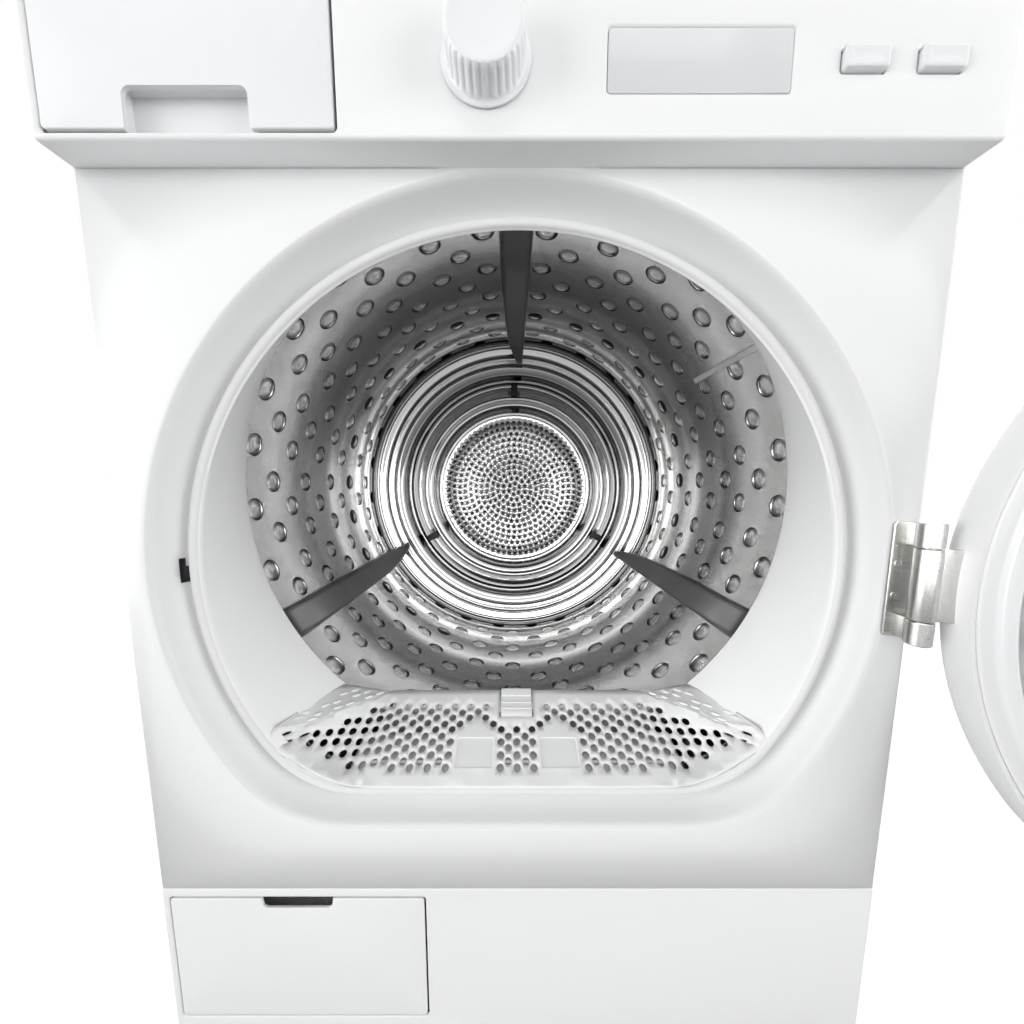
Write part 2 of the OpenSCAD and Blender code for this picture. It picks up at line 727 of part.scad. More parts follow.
module front_felt_seal() color("gray") turned()
    translate([felt_seat_r + seal_gap, drum_y + 3])
        square([drum_r - 2 * seal_gap - felt_seat_r, collar_y - drum_y - 5]);

module rear_felt_seal() color("gray") turned()
    translate([felt_in_r, back_y + drum_t + seal_gap])
        square([drum_r - 2 - felt_in_r, rear_bulk_y - back_y - drum_t - seal_gap]);

// ---- Behind the drum ----
module rear_bulkhead() color("silver") slab(rear_bulk_y, rear_bulk_y + bulk_t) difference() {
    translate([-inner_x, deck_z]) square([2 * inner_x, tray_z - deck_z]);
    translate([0, drum_axis_z]) circle(inlet_r);
    // Way from the condenser into the rear duct
    translate([feed_x, feed_z]) square([feed_w, feed_h]);
}

module rear_air_duct() color("silver") {
    difference() {
        block([-duct_half, rear_bulk_y + bulk_t, duct_low],
            [duct_half, duct_rear, drum_axis_z + duct_half]);
        block([-duct_half + sheet_t, rear_bulk_y, duct_low + sheet_t],
            [duct_half - sheet_t, duct_rear - sheet_t, drum_axis_z + duct_half - sheet_t]);
    }
    // Feed from the condenser, pushed through the bulkhead
    difference() {
        block([feed_x, cond_y + condenser_len, feed_z],
            [feed_x + feed_w, rear_bulk_y + bulk_t + 3, feed_z + feed_h]);
        block([feed_x + sheet_t, cond_y, feed_z + sheet_t],
            [feed_x + feed_w - sheet_t, rear_y, feed_z + feed_h - sheet_t]);
        block([feed_x - 1, rear_bulk_y + bulk_t, feed_z + 20], [0, rear_y, feed_z + 40]);
    }
}

module heater() color("gray") {
    difference() {
        block([-heater_half, heater_y, heater_z],
            [heater_half, heater_y + heater_d, heater_z + heater_h]);
        block([-heater_half + 2, heater_y + 2, heater_z - 1],
            [heater_half - 2, heater_y + heater_d - 2, heater_z + heater_h + 1]);
    }
    for (x = [15 - heater_half : 35 : heater_half - 15])
        rod(3, heater_y + 2, heater_y + heater_d - 2, x, heater_z + heater_h / 2);
}

// ---- Support rollers ----
module at_roller(s) translate([s * roller_dist * sin(roller_angle), 0,
    drum_axis_z - roller_dist * cos(roller_angle)]) children();
module roller(s) at_roller(s) difference() {
    union() {
        rod(roller_r, roller_y, roller_y + roller_w);
        rod(axle_r + 4, roller_y - 3, roller_y + roller_w + 2);
    }
    rod(axle_r + fit, roller_y - 4, roller_y + roller_w + 3);
}
module roller_left() color("dimgray") roller(-1);
module roller_right() color("dimgray") roller(1);
module roller_axles() color("silver") for (s = [-1, 1]) at_roller(s) {
    rod(axle_r, bulk_y, roller_y + roller_w + 5);
    rod(axle_r + 5, bulk_y + bulk_t, roller_y - 3 - gap);
    rod(axle_r + 2, roller_y + roller_w + 2 + gap, roller_y + roller_w + 5);
}

// ---- Lint filter and its duct ----
cover_c1 = [filter_half, collar_y, filter_top];
cover_e = [shelf_half, collar_y, shelf_z];
cover_c2 = [wing_half, wing_y, shelf_z];
cover_c3 = [filter_half, filter_y, filter_z];
module on_face() translate([0, filter_y, filter_z]) rotate([filter_slope, 0, 0]) children();
module filter_cover() color("white") difference() {
    union() {
        // Sloping face, its skirt behind, and the two wings with their shelves
        on_face() translate([-filter_half, 0, -cover_t])
            cube([2 * filter_half, (collar_y - filter_y) / cos(filter_slope), cover_t]);
        slab(collar_y - 2, collar_y) intersection() {
            translate([0, drum_axis_z]) circle(collar_r - 7 * gap);
            translate([-filter_half, filter_z - 40])
                square([2 * filter_half, filter_top - filter_z + 38]);
        }
        for (s = [-1, 1]) scale_x(s) {
            tri_plate(cover_c1, cover_c2, cover_c3, cover_t);
            tri_plate(cover_c1, cover_e, cover_c2, cover_t);
            // Lugs for the latch's pin
            block([latch_half + gap, latch_pin_y - 3, latch_pin_z - 3],
                [latch_half + gap + 5, latch_pin_y + 3, latch_pin_z + 3.5]);
        }
    }
    translate([-latch_half - 10, latch_pin_y, latch_pin_z]) rotate([0, 90, 0])
        cylinder(r = latch_pin_r + fit, h = 2 * latch_half + 20);
    // Notch that holds the latch
    block([-latch_half - gap, collar_y - latch_len - 3 * gap, filter_z - 2],
        [latch_half + gap, collar_y + 1, filter_top + 10]);
    // Air holes
    on_face() for (i = [0 : 7], j = [-8 : 8]) {
        x = (j + (i % 2) / 2) * filter_pitch;
        if (abs(x) < filter_half - 8 && abs(x) > latch_half + 8)
            translate([x, 12 + i * filter_row, -cover_t - 1])
                cylinder(r = filter_hole_r, h = cover_t + 2, $fn = 24);
    }
}

// Frame under the cover that holds the mesh, open above and below
module filter_box() color("gainsboro") translate([-box_half, 0, 0]) difference() {
    rotate([90, 0, 90]) linear_extrude(2 * box_half)
        polygon([[box_front, box_z], [box_back, box_z],
            [box_back, cover_under(box_back)], [box_front, cover_under(box_front)]]);
    translate([box_t, 0, 0]) rotate([90, 0, 90]) linear_extrude(2 * box_half - 2 * box_t)
        polygon([[box_front + box_t, box_z - 1], [box_back - box_t, box_z - 1],
            [box_back - box_t, filter_top + 9], [box_front + box_t, filter_top + 9]]);
    // Room for the latch when it is pressed
    translate([box_half, 0, 0])
        block([-latch_half - gap, box_back - box_t - 1, cover_under(box_back) - latch_room],
            [latch_half + gap, box_back + 1, filter_top]);
}

// Finger latch of the filter: a leaf on a pin below its front edge
module filter_latch() color("white") {
    translate([0, collar_y - latch_len, cover_under(collar_y - latch_len)])
        rotate([filter_slope, 0, 0])
            block([-latch_half, 0, gap], [latch_half, (latch_len - 1) / cos(filter_slope), cover_t]);
    block([-latch_half, latch_pin_y - 1, latch_pin_z],
        [latch_half, latch_pin_y + 1, cover_under(latch_pin_y) + cover_t / 2]);
    translate([-latch_half - gap - 4, latch_pin_y, latch_pin_z]) rotate([0, 90, 0])
        cylinder(r = latch_pin_r, h = 2 * latch_half + 2 * gap + 8);
}

module filter_duct() color("gainsboro") difference() {
    union() {
        block([-duct_x, duct_front, duct_z], [duct_x, duct_back, duct_top]);
        block([motor_x - down_half, duct_front, deck_z], [motor_x + down_half, fan_y, duct_z + duct_t]);
    }
    block([-duct_x + duct_t, duct_front + duct_t, duct_z + duct_t],
        [duct_x - duct_t, duct_back - duct_t, duct_top + 1]);
    block([motor_x - down_half + duct_t, duct_front + duct_t, deck_z + duct_t],
        [motor_x + down_half - duct_t, fan_y - duct_t, duct_z]);
    // Way down from the pocket, and the way into the fan
    block([motor_x - down_half + duct_t, duct_front + duct_t, duct_z - 1],
        [duct_x - duct_t, duct_back - duct_t, duct_z + duct_t + 1]);
    rod(fan_hole_r, fan_y - duct_t - 1, fan_y + 1, motor_x, motor_z);
}

// ---- Drive ----
module fan_housing() color("gray") difference() {
    union() {
        rod(fan_house_r, fan_y, fan_y + fan_house_len, motor_x, motor_z);
        block([cond_x + condenser_w, fan_y, deck_z], [motor_x, fan_y + fan_house_len, deck_z + 50]);
        // Feet on the base
        block([motor_x - 30, fan_y, deck_z], [motor_x + 60, fan_y + fan_house_len, deck_z + 20]);
    }
    rod(fan_house_r - 2, fan_y + 2, fan_y + fan_house_len - 2, motor_x, motor_z);
    block([cond_x + condenser_w - 1, fan_y + 2, deck_z + 10],
        [motor_x, fan_y + fan_house_len - 2, deck_z + 48]);
    rod(fan_hole_r, fan_y - 1, fan_y + 3, motor_x, motor_z);
    rod(rotor_r + 2, fan_y, fan_y + fan_house_len + 1, motor_x, motor_z);
}

module fan_wheel() color("black") difference() {
    translate([motor_x, fan_y + 8, motor_z]) {
        rod(rotor_r + 8, 0, fan_len);
        rod(fan_r, fan_len - 3, fan_len);
        for (i = [0 : 15]) rotate([0, i * 22.5, 0])
            translate([0, 0, fan_r - 24]) rotate([0, 25, 0])
                block([-1, 0, 0], [1, fan_len - 3, 24]);
    }
    rod(rotor_r, fan_y, fan_y + fan_house_len, motor_x, motor_z);
}

module motor_rotor() color("silver")
    rod(rotor_r, fan_y + 8, belt_y + belt_w / 2 + 4, motor_x, motor_z);

module motor_pulley() color("gray") difference() {
    union() {
        rod(pulley_r, belt_y - belt_w / 2, belt_y + belt_w / 2, motor_x, motor_z);
        for (y = [belt_y - belt_w / 2 - 2.5, belt_y + belt_w / 2 + 0.5])
            rod(pulley_r + 4, y, y + 2, motor_x, motor_z);
        rod(pulley_r - 0.5, belt_y - belt_w / 2 - 1, belt_y + belt_w / 2 + 1, motor_x, motor_z);
    }
    rod(rotor_r, belt_y - belt_w, belt_y + belt_w, motor_x, motor_z);
}

module motor_body() color("dimgray") difference() {
    union() {
        rod(motor_r, motor_y, motor_y + motor_len, motor_x, motor_z);
        rod(16, motor_y - 6, motor_y + motor_len + 6, motor_x, motor_z);
    }
    rod(rotor_r + fit, motor_y - 7, motor_y + motor_len + 7, motor_x, motor_z);
}

module motor_cradle() color("gray") {
    difference() {
        for (y = [motor_y + 12, motor_y + motor_len - 26])
            block([motor_x - 50, y, deck_z], [motor_x + 50, y + 14, motor_z - 20]);
        rod(motor_r, motor_y - 1, motor_y + motor_len + 1, motor_x, motor_z);
    }
    // Post that carries the idler's arm
    block([idler_pivot_x - 8, arm_y + arm_t + gap, deck_z],
        [idler_pivot_x + 8, arm_y + arm_t + gap + 6, idler_pivot_z + 8]);
    rod(idler_pin_r, arm_y - 2, arm_y + arm_t + gap + 1, idler_pivot_x, idler_pivot_z);
    rod(idler_pin_r + 2, arm_y - 2, arm_y - gap, idler_pivot_x, idler_pivot_z);
}

module idler_arm() color("silver") {
    difference() {
        slab(arm_y, arm_y + arm_t) {
            translate([idler_pivot_x, idler_pivot_z]) circle(idler_pin_r + 5);
            translate([idler_x, idler_z]) circle(8);
            arm_dx = idler_x - idler_pivot_x;
            arm_dz = idler_z - idler_pivot_z;
            translate([idler_pivot_x, idler_pivot_z]) rotate(atan2(arm_dz, arm_dx))
                translate([0, -6]) square([sqrt(arm_dx * arm_dx + arm_dz * arm_dz), 12]);
        }
        rod(idler_pin_r + fit, arm_y - 1, arm_y + arm_t + 1, idler_pivot_x, idler_pivot_z);
    }
    rod(idler_pin_r, belt_y - belt_w / 2 - 4, arm_y, idler_x, idler_z);
    rod(idler_pin_r + 2, belt_y - belt_w / 2 - 4, belt_y - belt_w / 2 - 1 - gap, idler_x, idler_z);
}

module idler_pulley() color("black") difference() {
    rod(idler_r, belt_y - belt_w / 2 - 1, belt_y + belt_w / 2 + 1, idler_x, idler_z);
    rod(idler_pin_r + fit, belt_y - belt_w, belt_y + belt_w, idler_x, idler_z);
}

module drive_belt() color("black") slab(belt_y - belt_w / 2, belt_y + belt_w / 2) difference() {
    hull() {
        translate([0, drum_axis_z]) circle(belt_drum_r + belt_t, $fn = 180);
        translate([motor_x, motor_z]) circle(pulley_r + seal_gap + belt_t);
    }
    hull() {
        translate([0, drum_axis_z]) circle(belt_drum_r, $fn = 180);
        translate([motor_x, motor_z]) circle(pulley_r + seal_gap);
    }
}

// ---- Condenser and water ----
module condenser() color("silver") translate([cond_x, cond_y, deck_z]) {
    difference() {
        cube([condenser_w, condenser_len, condenser_h]);
        block([cond_t, cond_t + 2, cond_t],
            [condenser_w - cond_t, condenser_len + 1, condenser_h - cond_t]);
        // Way in for the fan's air
        block([condenser_w - cond_t - 1, fan_y + 2 - cond_y, 10],
            [condenser_w + 1, fan_y + fan_house_len - 2 - cond_y, 48]);
    }
    for (x = [14 : 14 : condenser_w - 12])
        block([x, cond_t + 2, cond_t], [x + 1, condenser_len - 4, condenser_h - cond_t]);
}

module condensate_pump() color("dimgray") translate([pump_x, pump_y, deck_z]) {
    cylinder(r = pump_r, h = pump_h);
    translate([0, 0, pump_h]) cylinder(r = pipe_r + 3, h = pipe_z - deck_z - pump_h);
}

module condensate_pipe() color("white") translate([pump_x, pump_y, pipe_z]) difference() {
    cylinder(r = pipe_r, h = tray_z - pipe_z);
    translate([0, 0, -1]) cylinder(r = pipe_r - 1.5, h = tray_z - pipe_z + 2);
}

// Screws that hold the worktop and the rear panel
module panel_screws() color("silver") {
    for (s = [-1, 1], z = [base_gap + 60, drum_axis_z, side_top - 40])
        rod(screw_r, rear_y, rear_y + screw_t, s * (half_w - 12), z);
    for (s = [-1, 1]) rod(screw_r, rear_y, rear_y + screw_t, s * half_w / 2, side_top + worktop_h / 2);
}

// ---- Door, drawn closed and then opened ----
module door_ring(r, flat, corner, y0, y1) at_opening() slab(y0, y1) difference() {
    d_shape(r, flat, corner);
    circle(window_r);
}
module leaf_slot(c) block([hinge_x - 38, hinge_y - leaf_t / 2 - c, open_z - leaf_h / 2 - c],
    [hinge_x + 1, hinge_y + leaf_t / 2 + c, open_z + leaf_h / 2 + c]);
module door_frame() color("white") opened() difference() {
    union() {
        door_ring(door_r, door_flat, door_corner, door_front, door_front + door_wall);
        at_opening() slab(door_front, door_rear) difference() {
            d_shape(door_r, door_flat, door_corner);
            d_shape(door_r - door_wall, door_flat - door_wall, door_corner - door_wall);
        }
        at_opening() slab(door_front, door_rear - 6) difference() {
            circle(window_r + door_wall);
            circle(window_r);
        }
        // Block for the hinge's leaf
        at_opening() intersection() {
            slab(door_front, door_rear - door_wall) intersection() {
                d_shape(door_r, door_flat, door_corner);
                translate([hinge_x - 50, -leaf_h / 2 - 6]) square([60, leaf_h + 12]);
            }
        }
    }
    leaf_slot(0);
}

module door_window() color("darkslategray") opened() at_opening() {
    slab(door_front + door_wall, door_front + door_wall + 4) circle(window_r);
}

module door_inner_frame() color("white") opened() {
    // Plate inside the outer frame's rim
    at_opening() slab(door_rear - door_wall, door_rear) difference() {
        d_shape(door_r - door_wall, door_flat - door_wall, door_corner - door_wall);
        circle(window_r);
    }
    // Land for the seal and the plug that fills the opening
    at_opening() slab(door_rear, lip_y - 5) difference() {
        d_shape(lip_r - 4, lip_flat - 4, lip_corner);
        d_shape(plug_r - door_wall, plug_flat - door_wall, plug_corner);
    }
    at_opening() slab(lip_y - 5, front_y + plug_deep) difference() {
        d_shape(plug_r, plug_flat, plug_corner);
        d_shape(plug_r - door_wall, plug_flat - door_wall, plug_corner);
    }
}

module door_inner_glass() color("lightgray") opened() at_opening()
    slab(front_y + plug_deep - 6, front_y + plug_deep - 2)
        d_shape(plug_r - door_wall, plug_flat - door_wall, plug_corner);

module door_seal() color("gray") opened() at_opening() slab(lip_y - 5, lip_y - gap) difference() {
    d_shape(lip_r - 5, lip_flat - 5, lip_corner);
    d_shape(lip_r - 14, lip_flat - 14, lip_corner - 9);
}

module door_hinge_leaf() color("silver") opened() difference() {
    union() {
        leaf_slot(0);
        translate([hinge_x, hinge_y, open_z - leaf_h / 2]) cylinder(r = knuckle_r, h = leaf_h);
    }
    translate([hinge_x, hinge_y, open_z - leaf_h]) cylinder(r = hinge_pin_r + fit, h = 2 * leaf_h);
}

module door_hook() color("gray") opened() {
    block([hook_x - 2, door_rear, open_z - 6], [hook_x + 2, front_y + recess_depth + 8, open_z + 6]);
    block([hook_x - 2, front_y + recess_depth + 3, open_z - 6],
        [hook_x + 2.5, front_y + recess_depth + 8, open_z + 6]);
}

base_tray();
levelling_feet();
side_panel_left();
side_panel_right();
rear_panel();
worktop();
front_panel();
kick_panel();
front_bulkhead();
door_opening_shield();
control_fascia();
display_window();
control_board();
tank_tray();
hinge_bracket();
door_catch();
rear_bulkhead();
rear_air_duct();
drum_bearing();
front_felt_seal();
rear_felt_seal();
roller_axles();
filter_duct();
fan_housing();
motor_body();
motor_cradle();
condenser();
condensate_pump();
condensate_pipe();
drive_belt();
heater();
panel_screws();
drum_shell();
drum_lifters();
drum_back();
drum_spider();
hub_cover();
drum_shaft();
door_frame();
door_window();
door_inner_frame();
door_inner_glass();
door_seal();
door_hinge_leaf();
door_hook();
filter_cover();
filter_box();
filter_latch();
motor_rotor();
motor_pulley();
fan_wheel();
idler_arm();
idler_pulley();
roller_left();
roller_right();
water_tank();
programme_knob();
start_button();
option_button();
condenser_flap();
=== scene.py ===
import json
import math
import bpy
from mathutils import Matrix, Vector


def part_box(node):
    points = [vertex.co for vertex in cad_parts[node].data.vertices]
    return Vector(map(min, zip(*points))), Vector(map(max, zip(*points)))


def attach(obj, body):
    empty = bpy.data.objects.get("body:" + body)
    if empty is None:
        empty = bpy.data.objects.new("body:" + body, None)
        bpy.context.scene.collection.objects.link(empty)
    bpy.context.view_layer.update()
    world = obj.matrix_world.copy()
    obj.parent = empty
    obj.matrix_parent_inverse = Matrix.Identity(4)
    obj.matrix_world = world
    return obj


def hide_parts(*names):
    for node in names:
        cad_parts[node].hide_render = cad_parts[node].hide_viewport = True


bl_info = {
    "name": "Clothes dryer",
    "version": (1, 0, 0),
    "blender": (4, 5, 0),
    "location": "View3D > Sidebar > Dryer",
    "description": "Dresses a front loading clothes dryer with its drum, filter, door and cabinet",
    "category": "Object",
}

import bmesh
import bpy
import numpy as np
from bpy.props import FloatProperty, FloatVectorProperty, IntProperty, PointerProperty
from mathutils import Vector, geometry

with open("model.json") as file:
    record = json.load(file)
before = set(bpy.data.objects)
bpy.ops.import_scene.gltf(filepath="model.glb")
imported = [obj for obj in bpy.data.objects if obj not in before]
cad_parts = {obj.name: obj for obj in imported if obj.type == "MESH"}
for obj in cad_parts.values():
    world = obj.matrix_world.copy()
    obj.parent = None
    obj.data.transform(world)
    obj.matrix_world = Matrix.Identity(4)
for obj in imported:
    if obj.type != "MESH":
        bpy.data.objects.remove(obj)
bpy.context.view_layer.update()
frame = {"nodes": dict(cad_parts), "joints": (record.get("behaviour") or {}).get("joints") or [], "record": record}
NODES = frame["nodes"]
M = 0.001  # the scene's functions work in millimetres


def node_box(name):
    """Lowest and highest corner of a CAD node, in millimetres."""
    lo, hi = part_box(name)
    return Vector(lo) / M, Vector(hi) / M


# Places that come from the frame, in millimetres
FRONT = node_box("front_panel")[0].y
HALF = node_box("worktop")[1].x
TOP = node_box("worktop")[1].z
SIDE_TOP = node_box("worktop")[0].z
FASCIA = node_box("control_fascia")
DRUM = node_box("drum_shell")
AXIS_Z = (DRUM[0].z + DRUM[1].z) / 2
OPEN_Z = (node_box("door_hinge_leaf")[0].z + node_box("door_hinge_leaf")[1].z) / 2
HINGE = frame["joints"][1]["pos_m"]  # in metres
WALL_R = DRUM[1].x - 1.0  # inner radius of the drum's wall


# ---------------------------------------------------------------- properties
def size(name, default, about, lo=0.1, hi=2000.0):
    """A length or an angle in the sidebar."""
    return FloatProperty(name=name, description=about, default=default, min=lo, max=hi)


def colour(name, value, about):
    """A colour in the sidebar."""
    return FloatVectorProperty(
        name=name, description=about, default=value, subtype="COLOR", size=3, min=0, max=1)


class DryerSizes(bpy.types.PropertyGroup):
    dent_radius: size("Dent radius", 12.5, "Radius of a dent in the drum's wall, in mm")
    dent_depth: size("Dent depth", 2.6, "Depth of a dent in the drum's wall, in mm")
    dent_pitch: size("Dent row pitch", 33.07, "Distance between two rows of dents, in mm")
    lifter_height: size("Lifter height", 47.0, "Height of a lifter over the drum's wall, in mm")
    hole_radius: size("Filter hole", 3.5, "Radius of a hole in the filter's cover, in mm")
    grille_hole: size("Grille hole", 3.0, "Radius of a hole in the hub cover, in mm")
    grille_rings: IntProperty(name="Grille rings", description="Rings of holes in the hub cover",
                              default=13, min=3, max=20)
    bead_width: size("Bead width", 7.0, "Width of the bead round the loading opening, in mm")
    edge_radius: size("Edge radius", 3.0, "Rounding of the cabinet's outer edges, in mm")
    seam_angle: size("Seam angle", 58.5, "Place of the drum's weld seam from the top, in degrees")


class DryerColours(bpy.types.PropertyGroup):
    casing: colour("Casing", (0.79, 0.795, 0.80), "Enamelled cabinet and plastic panels")
    opening: colour("Opening", (0.92, 0.925, 0.93), "Shield and filter cover")
    steel: colour("Drum steel", (0.955, 0.955, 0.95), "Stainless steel of the drum")
    lifter: colour("Lifters", (0.1, 0.1, 0.1), "Dark plastic of the lifters")
    rubber: colour("Seal", (0.36, 0.37, 0.38), "Rubber of the door seal")
    trim: colour("Controls", (0.72, 0.73, 0.74), "Knob, buttons and display")


# ---------------------------------------------------------------- materials
def shader(name, base, rough, metal=0.0, **sockets):
    """A material with its Principled shader; other sockets are set by their names."""
    mat = bpy.data.materials.new(name)
    mat.use_nodes = True
    bsdf = mat.node_tree.nodes["Principled BSDF"]
    bsdf.inputs["Base Color"].default_value = (*base, 1)
    bsdf.inputs["Roughness"].default_value = rough
    bsdf.inputs["Metallic"].default_value = metal
    for key, value in sockets.items():
        bsdf.inputs[key.replace("_", " ")].default_value = value
    return mat, mat.node_tree, bsdf


def node(tree, kind, **inputs):
    """A shader node; its inputs are set by their names."""
    made = tree.nodes.new(kind)
    for key, value in inputs.items():
        made.inputs[key.replace("_", " ")].default_value = value
    return made


def coords(tree, stretch=(1, 1, 1)):
    """Object coordinates; unequal numbers in stretch give a grain that runs one way."""
    place = tree.nodes.new("ShaderNodeTexCoord")
    mapping = tree.nodes.new("ShaderNodeMapping")
    mapping.inputs["Scale"].default_value = stretch
    tree.links.new(place.outputs["Object"], mapping.inputs["Vector"])
    return mapping.outputs["Vector"]


def polar(tree, scale):
    """Angle, depth and radius about the drum's axis; also the depth and the radius alone."""
    place = tree.nodes.new("ShaderNodeTexCoord")
    part = tree.nodes.new("ShaderNodeSeparateXYZ")
    tree.links.new(place.outputs["Object"], part.inputs[0])
    up = math_node(tree, "SUBTRACT", part.outputs["Z"], AXIS_Z * M)
    angle = math_node(tree, "ARCTAN2", part.outputs["X"], up)
    sq = math_node(tree, "ADD", math_node(tree, "MULTIPLY", part.outputs["X"], part.outputs["X"]),
                   math_node(tree, "MULTIPLY", up, up))
    radius = math_node(tree, "SQRT", sq)
    join = tree.nodes.new("ShaderNodeCombineXYZ")
    for i, (value, s) in enumerate(zip((angle, part.outputs["Y"], radius), scale)):
        tree.links.new(math_node(tree, "MULTIPLY", value, s), join.inputs[i])
    return join.outputs[0], part.outputs["Y"], radius


def math_node(tree, operation, a, b=0.0):
    """Output of a sum on two numbers or sockets."""
    made = tree.nodes.new("ShaderNodeMath")
    made.operation = operation
    for i, value in enumerate((a, b)):
        if isinstance(value, (int, float)):
            made.inputs[i].default_value = value
        else:
            tree.links.new(value, made.inputs[i])
    return made.outputs[0]


def noise(tree, vector, scale, detail=3.0, rough=0.5):
    """A soft cloud pattern from 0 to 1."""
    made = node(tree, "ShaderNodeTexNoise", Scale=scale, Detail=detail, Roughness=rough)
    tree.links.new(vector, made.inputs["Vector"])
    return made.outputs["Fac"]


def spread(tree, factor, low, high):
    """Maps a 0 to 1 pattern to a range of values."""
    made = tree.nodes.new("ShaderNodeMapRange")
    made.inputs["From Min"].default_value = 0.3
    made.inputs["From Max"].default_value = 0.7
    made.inputs["To Min"].default_value = low
    made.inputs["To Max"].default_value = high
    tree.links.new(factor, made.inputs["Value"])
    return made.outputs[0]


def tint(tree, factor, dark, light):
    """Blends two colours by a 0 to 1 pattern."""
    ramp = tree.nodes.new("ShaderNodeValToRGB")
    ramp.color_ramp.elements[0].position = 0.3
    ramp.color_ramp.elements[1].position = 0.7
    ramp.color_ramp.elements[0].color = (*dark, 1)
    ramp.color_ramp.elements[1].color = (*light, 1)
    tree.links.new(factor, ramp.inputs["Fac"])
    return ramp.outputs["Color"]


def bump(tree, bsdf, height, strength, distance):
    """Fine relief from a pattern; distance is in metres."""
    made = node(tree, "ShaderNodeBump", Strength=strength, Distance=distance)
    tree.links.new(height, made.inputs["Height"])
    tree.links.new(made.outputs[0], bsdf.inputs["Normal"])


def shade(colour, k):
    """A colour made darker or lighter, at most 1."""
    return tuple(min(1.0, c * k) for c in colour)


def moulded(name, base, rough=0.35, grain=900.0, depth=0.00006, vary=0.03, **sockets):
    """Moulded plastic or enamel: a fine skin and slightly uneven gloss."""
    mat, tree, bsdf = shader(name, base, rough, **sockets)
    vec = coords(tree)
    cloud = noise(tree, vec, 14.0, 4.0)
    tree.links.new(tint(tree, cloud, shade(base, 1 - vary), shade(base, 1 + vary)),
                   bsdf.inputs["Base Color"])
    tree.links.new(spread(tree, noise(tree, vec, 25.0, 1.0), rough * 0.99, rough * 1.01),
                   bsdf.inputs["Roughness"])
    bump(tree, bsdf, noise(tree, vec, grain, 2.0), 0.35, depth)
    return mat


def sheet_steel(name, base, rough, stretch=(1, 60, 60)):
    """Rolled sheet steel: long fine lines one way and cloudy patches."""
    mat, tree, bsdf = shader(name, base, rough, 1.0)
    lines = noise(tree, coords(tree, stretch), 30.0, 5.0, 0.6)
    cloud = noise(tree, coords(tree), 9.0, 3.0)
    tree.links.new(tint(tree, cloud, shade(base, 0.86), shade(base, 1.08)), bsdf.inputs["Base Color"])
    tree.links.new(spread(tree, lines, rough * 0.75, rough * 1.3), bsdf.inputs["Roughness"])
    bump(tree, bsdf, lines, 0.25, 0.0001)
    return mat


def drum_steel(name, base, rough, painted_light=(), across=False):
    """Stainless steel; an optional list of (place in m, share of the colour) by depth, or by radius if across,
    paints bands of reflection and shade into the colour.
    """
    mat, tree, bsdf = shader(name, base, rough, 1.0)
    vec, depth, radius = polar(tree, (3.0, 420.0, 420.0))
    lines = noise(tree, vec, 2.0, 4.0, 0.6)
    cloud = noise(tree, coords(tree), 6.0, 2.0)
    colour = tint(tree, cloud, shade(base, 0.97), shade(base, 1.02))
    # Painted reflection and shade: the colour is multiplied by bands of lighter and darker grey along the depth or
    # the radius
    if painted_light:
        lo, hi = painted_light[0][0], painted_light[-1][0]
        share = levels(tree, [((place - lo) / (hi - lo), part) for place, part in painted_light])
        place = math_node(tree, "SUBTRACT", radius if across else depth, lo)
        tree.links.new(math_node(tree, "DIVIDE", place, hi - lo), share.inputs["Fac"])
        mix = tree.nodes.new("ShaderNodeMix")
        mix.data_type, mix.blend_type = "RGBA", "MULTIPLY"
        mix.inputs[0].default_value = 1.0
        tree.links.new(colour, mix.inputs[6])
        tree.links.new(share.outputs["Color"], mix.inputs[7])
        colour = mix.outputs[2]
    tree.links.new(colour, bsdf.inputs["Base Color"])
    tree.links.new(spread(tree, lines, rough * 0.97, rough * 1.03), bsdf.inputs["Roughness"])
    bump(tree, bsdf, cloud, 0.05, 0.00003)
    return mat


def levels(tree, stops):
    """Colour ramp of greys from (place, level) pairs."""
    ramp = tree.nodes.new("ShaderNodeValToRGB")
    ramp.color_ramp.interpolation = "EASE"
    for k, (place, level) in enumerate(stops):
        stop = ramp.color_ramp.elements[k] if k < 2 else ramp.color_ramp.elements.new(place)
        stop.position = place
        stop.color = (level, level, level, 1)
    return ramp


def galvanised(name, base):
    """Zinc coated sheet with its spangle."""
    mat, tree, bsdf = shader(name, base, 0.42, 0.9)
    cells = node(tree, "ShaderNodeTexVoronoi", Scale=130.0)
    tree.links.new(coords(tree), cells.inputs["Vector"])
    grey = tree.nodes.new("ShaderNodeRGBToBW")
    tree.links.new(cells.outputs["Color"], grey.inputs[0])
    tree.links.new(tint(tree, grey.outputs[0], shade(base, 0.9), shade(base, 1.08)),
                   bsdf.inputs["Base Color"])
    tree.links.new(spread(tree, grey.outputs[0], 0.34, 0.5), bsdf.inputs["Roughness"])
    bump(tree, bsdf, noise(tree, coords(tree), 300.0), 0.1, 0.0001)
    return mat


def felt(name, base):
    """Pressed wool felt: fibres and a soft sheen."""
    mat, tree, bsdf = shader(name, base, 0.95, Sheen_Weight=0.4, Sheen_Roughness=0.6)
    fibres = noise(tree, coords(tree), 1600.0, 6.0, 0.8)
    tree.links.new(tint(tree, fibres, shade(base, 0.6), shade(base, 1.35)), bsdf.inputs["Base Color"])
    bump(tree, bsdf, fibres, 0.8, 0.0006)
    return mat


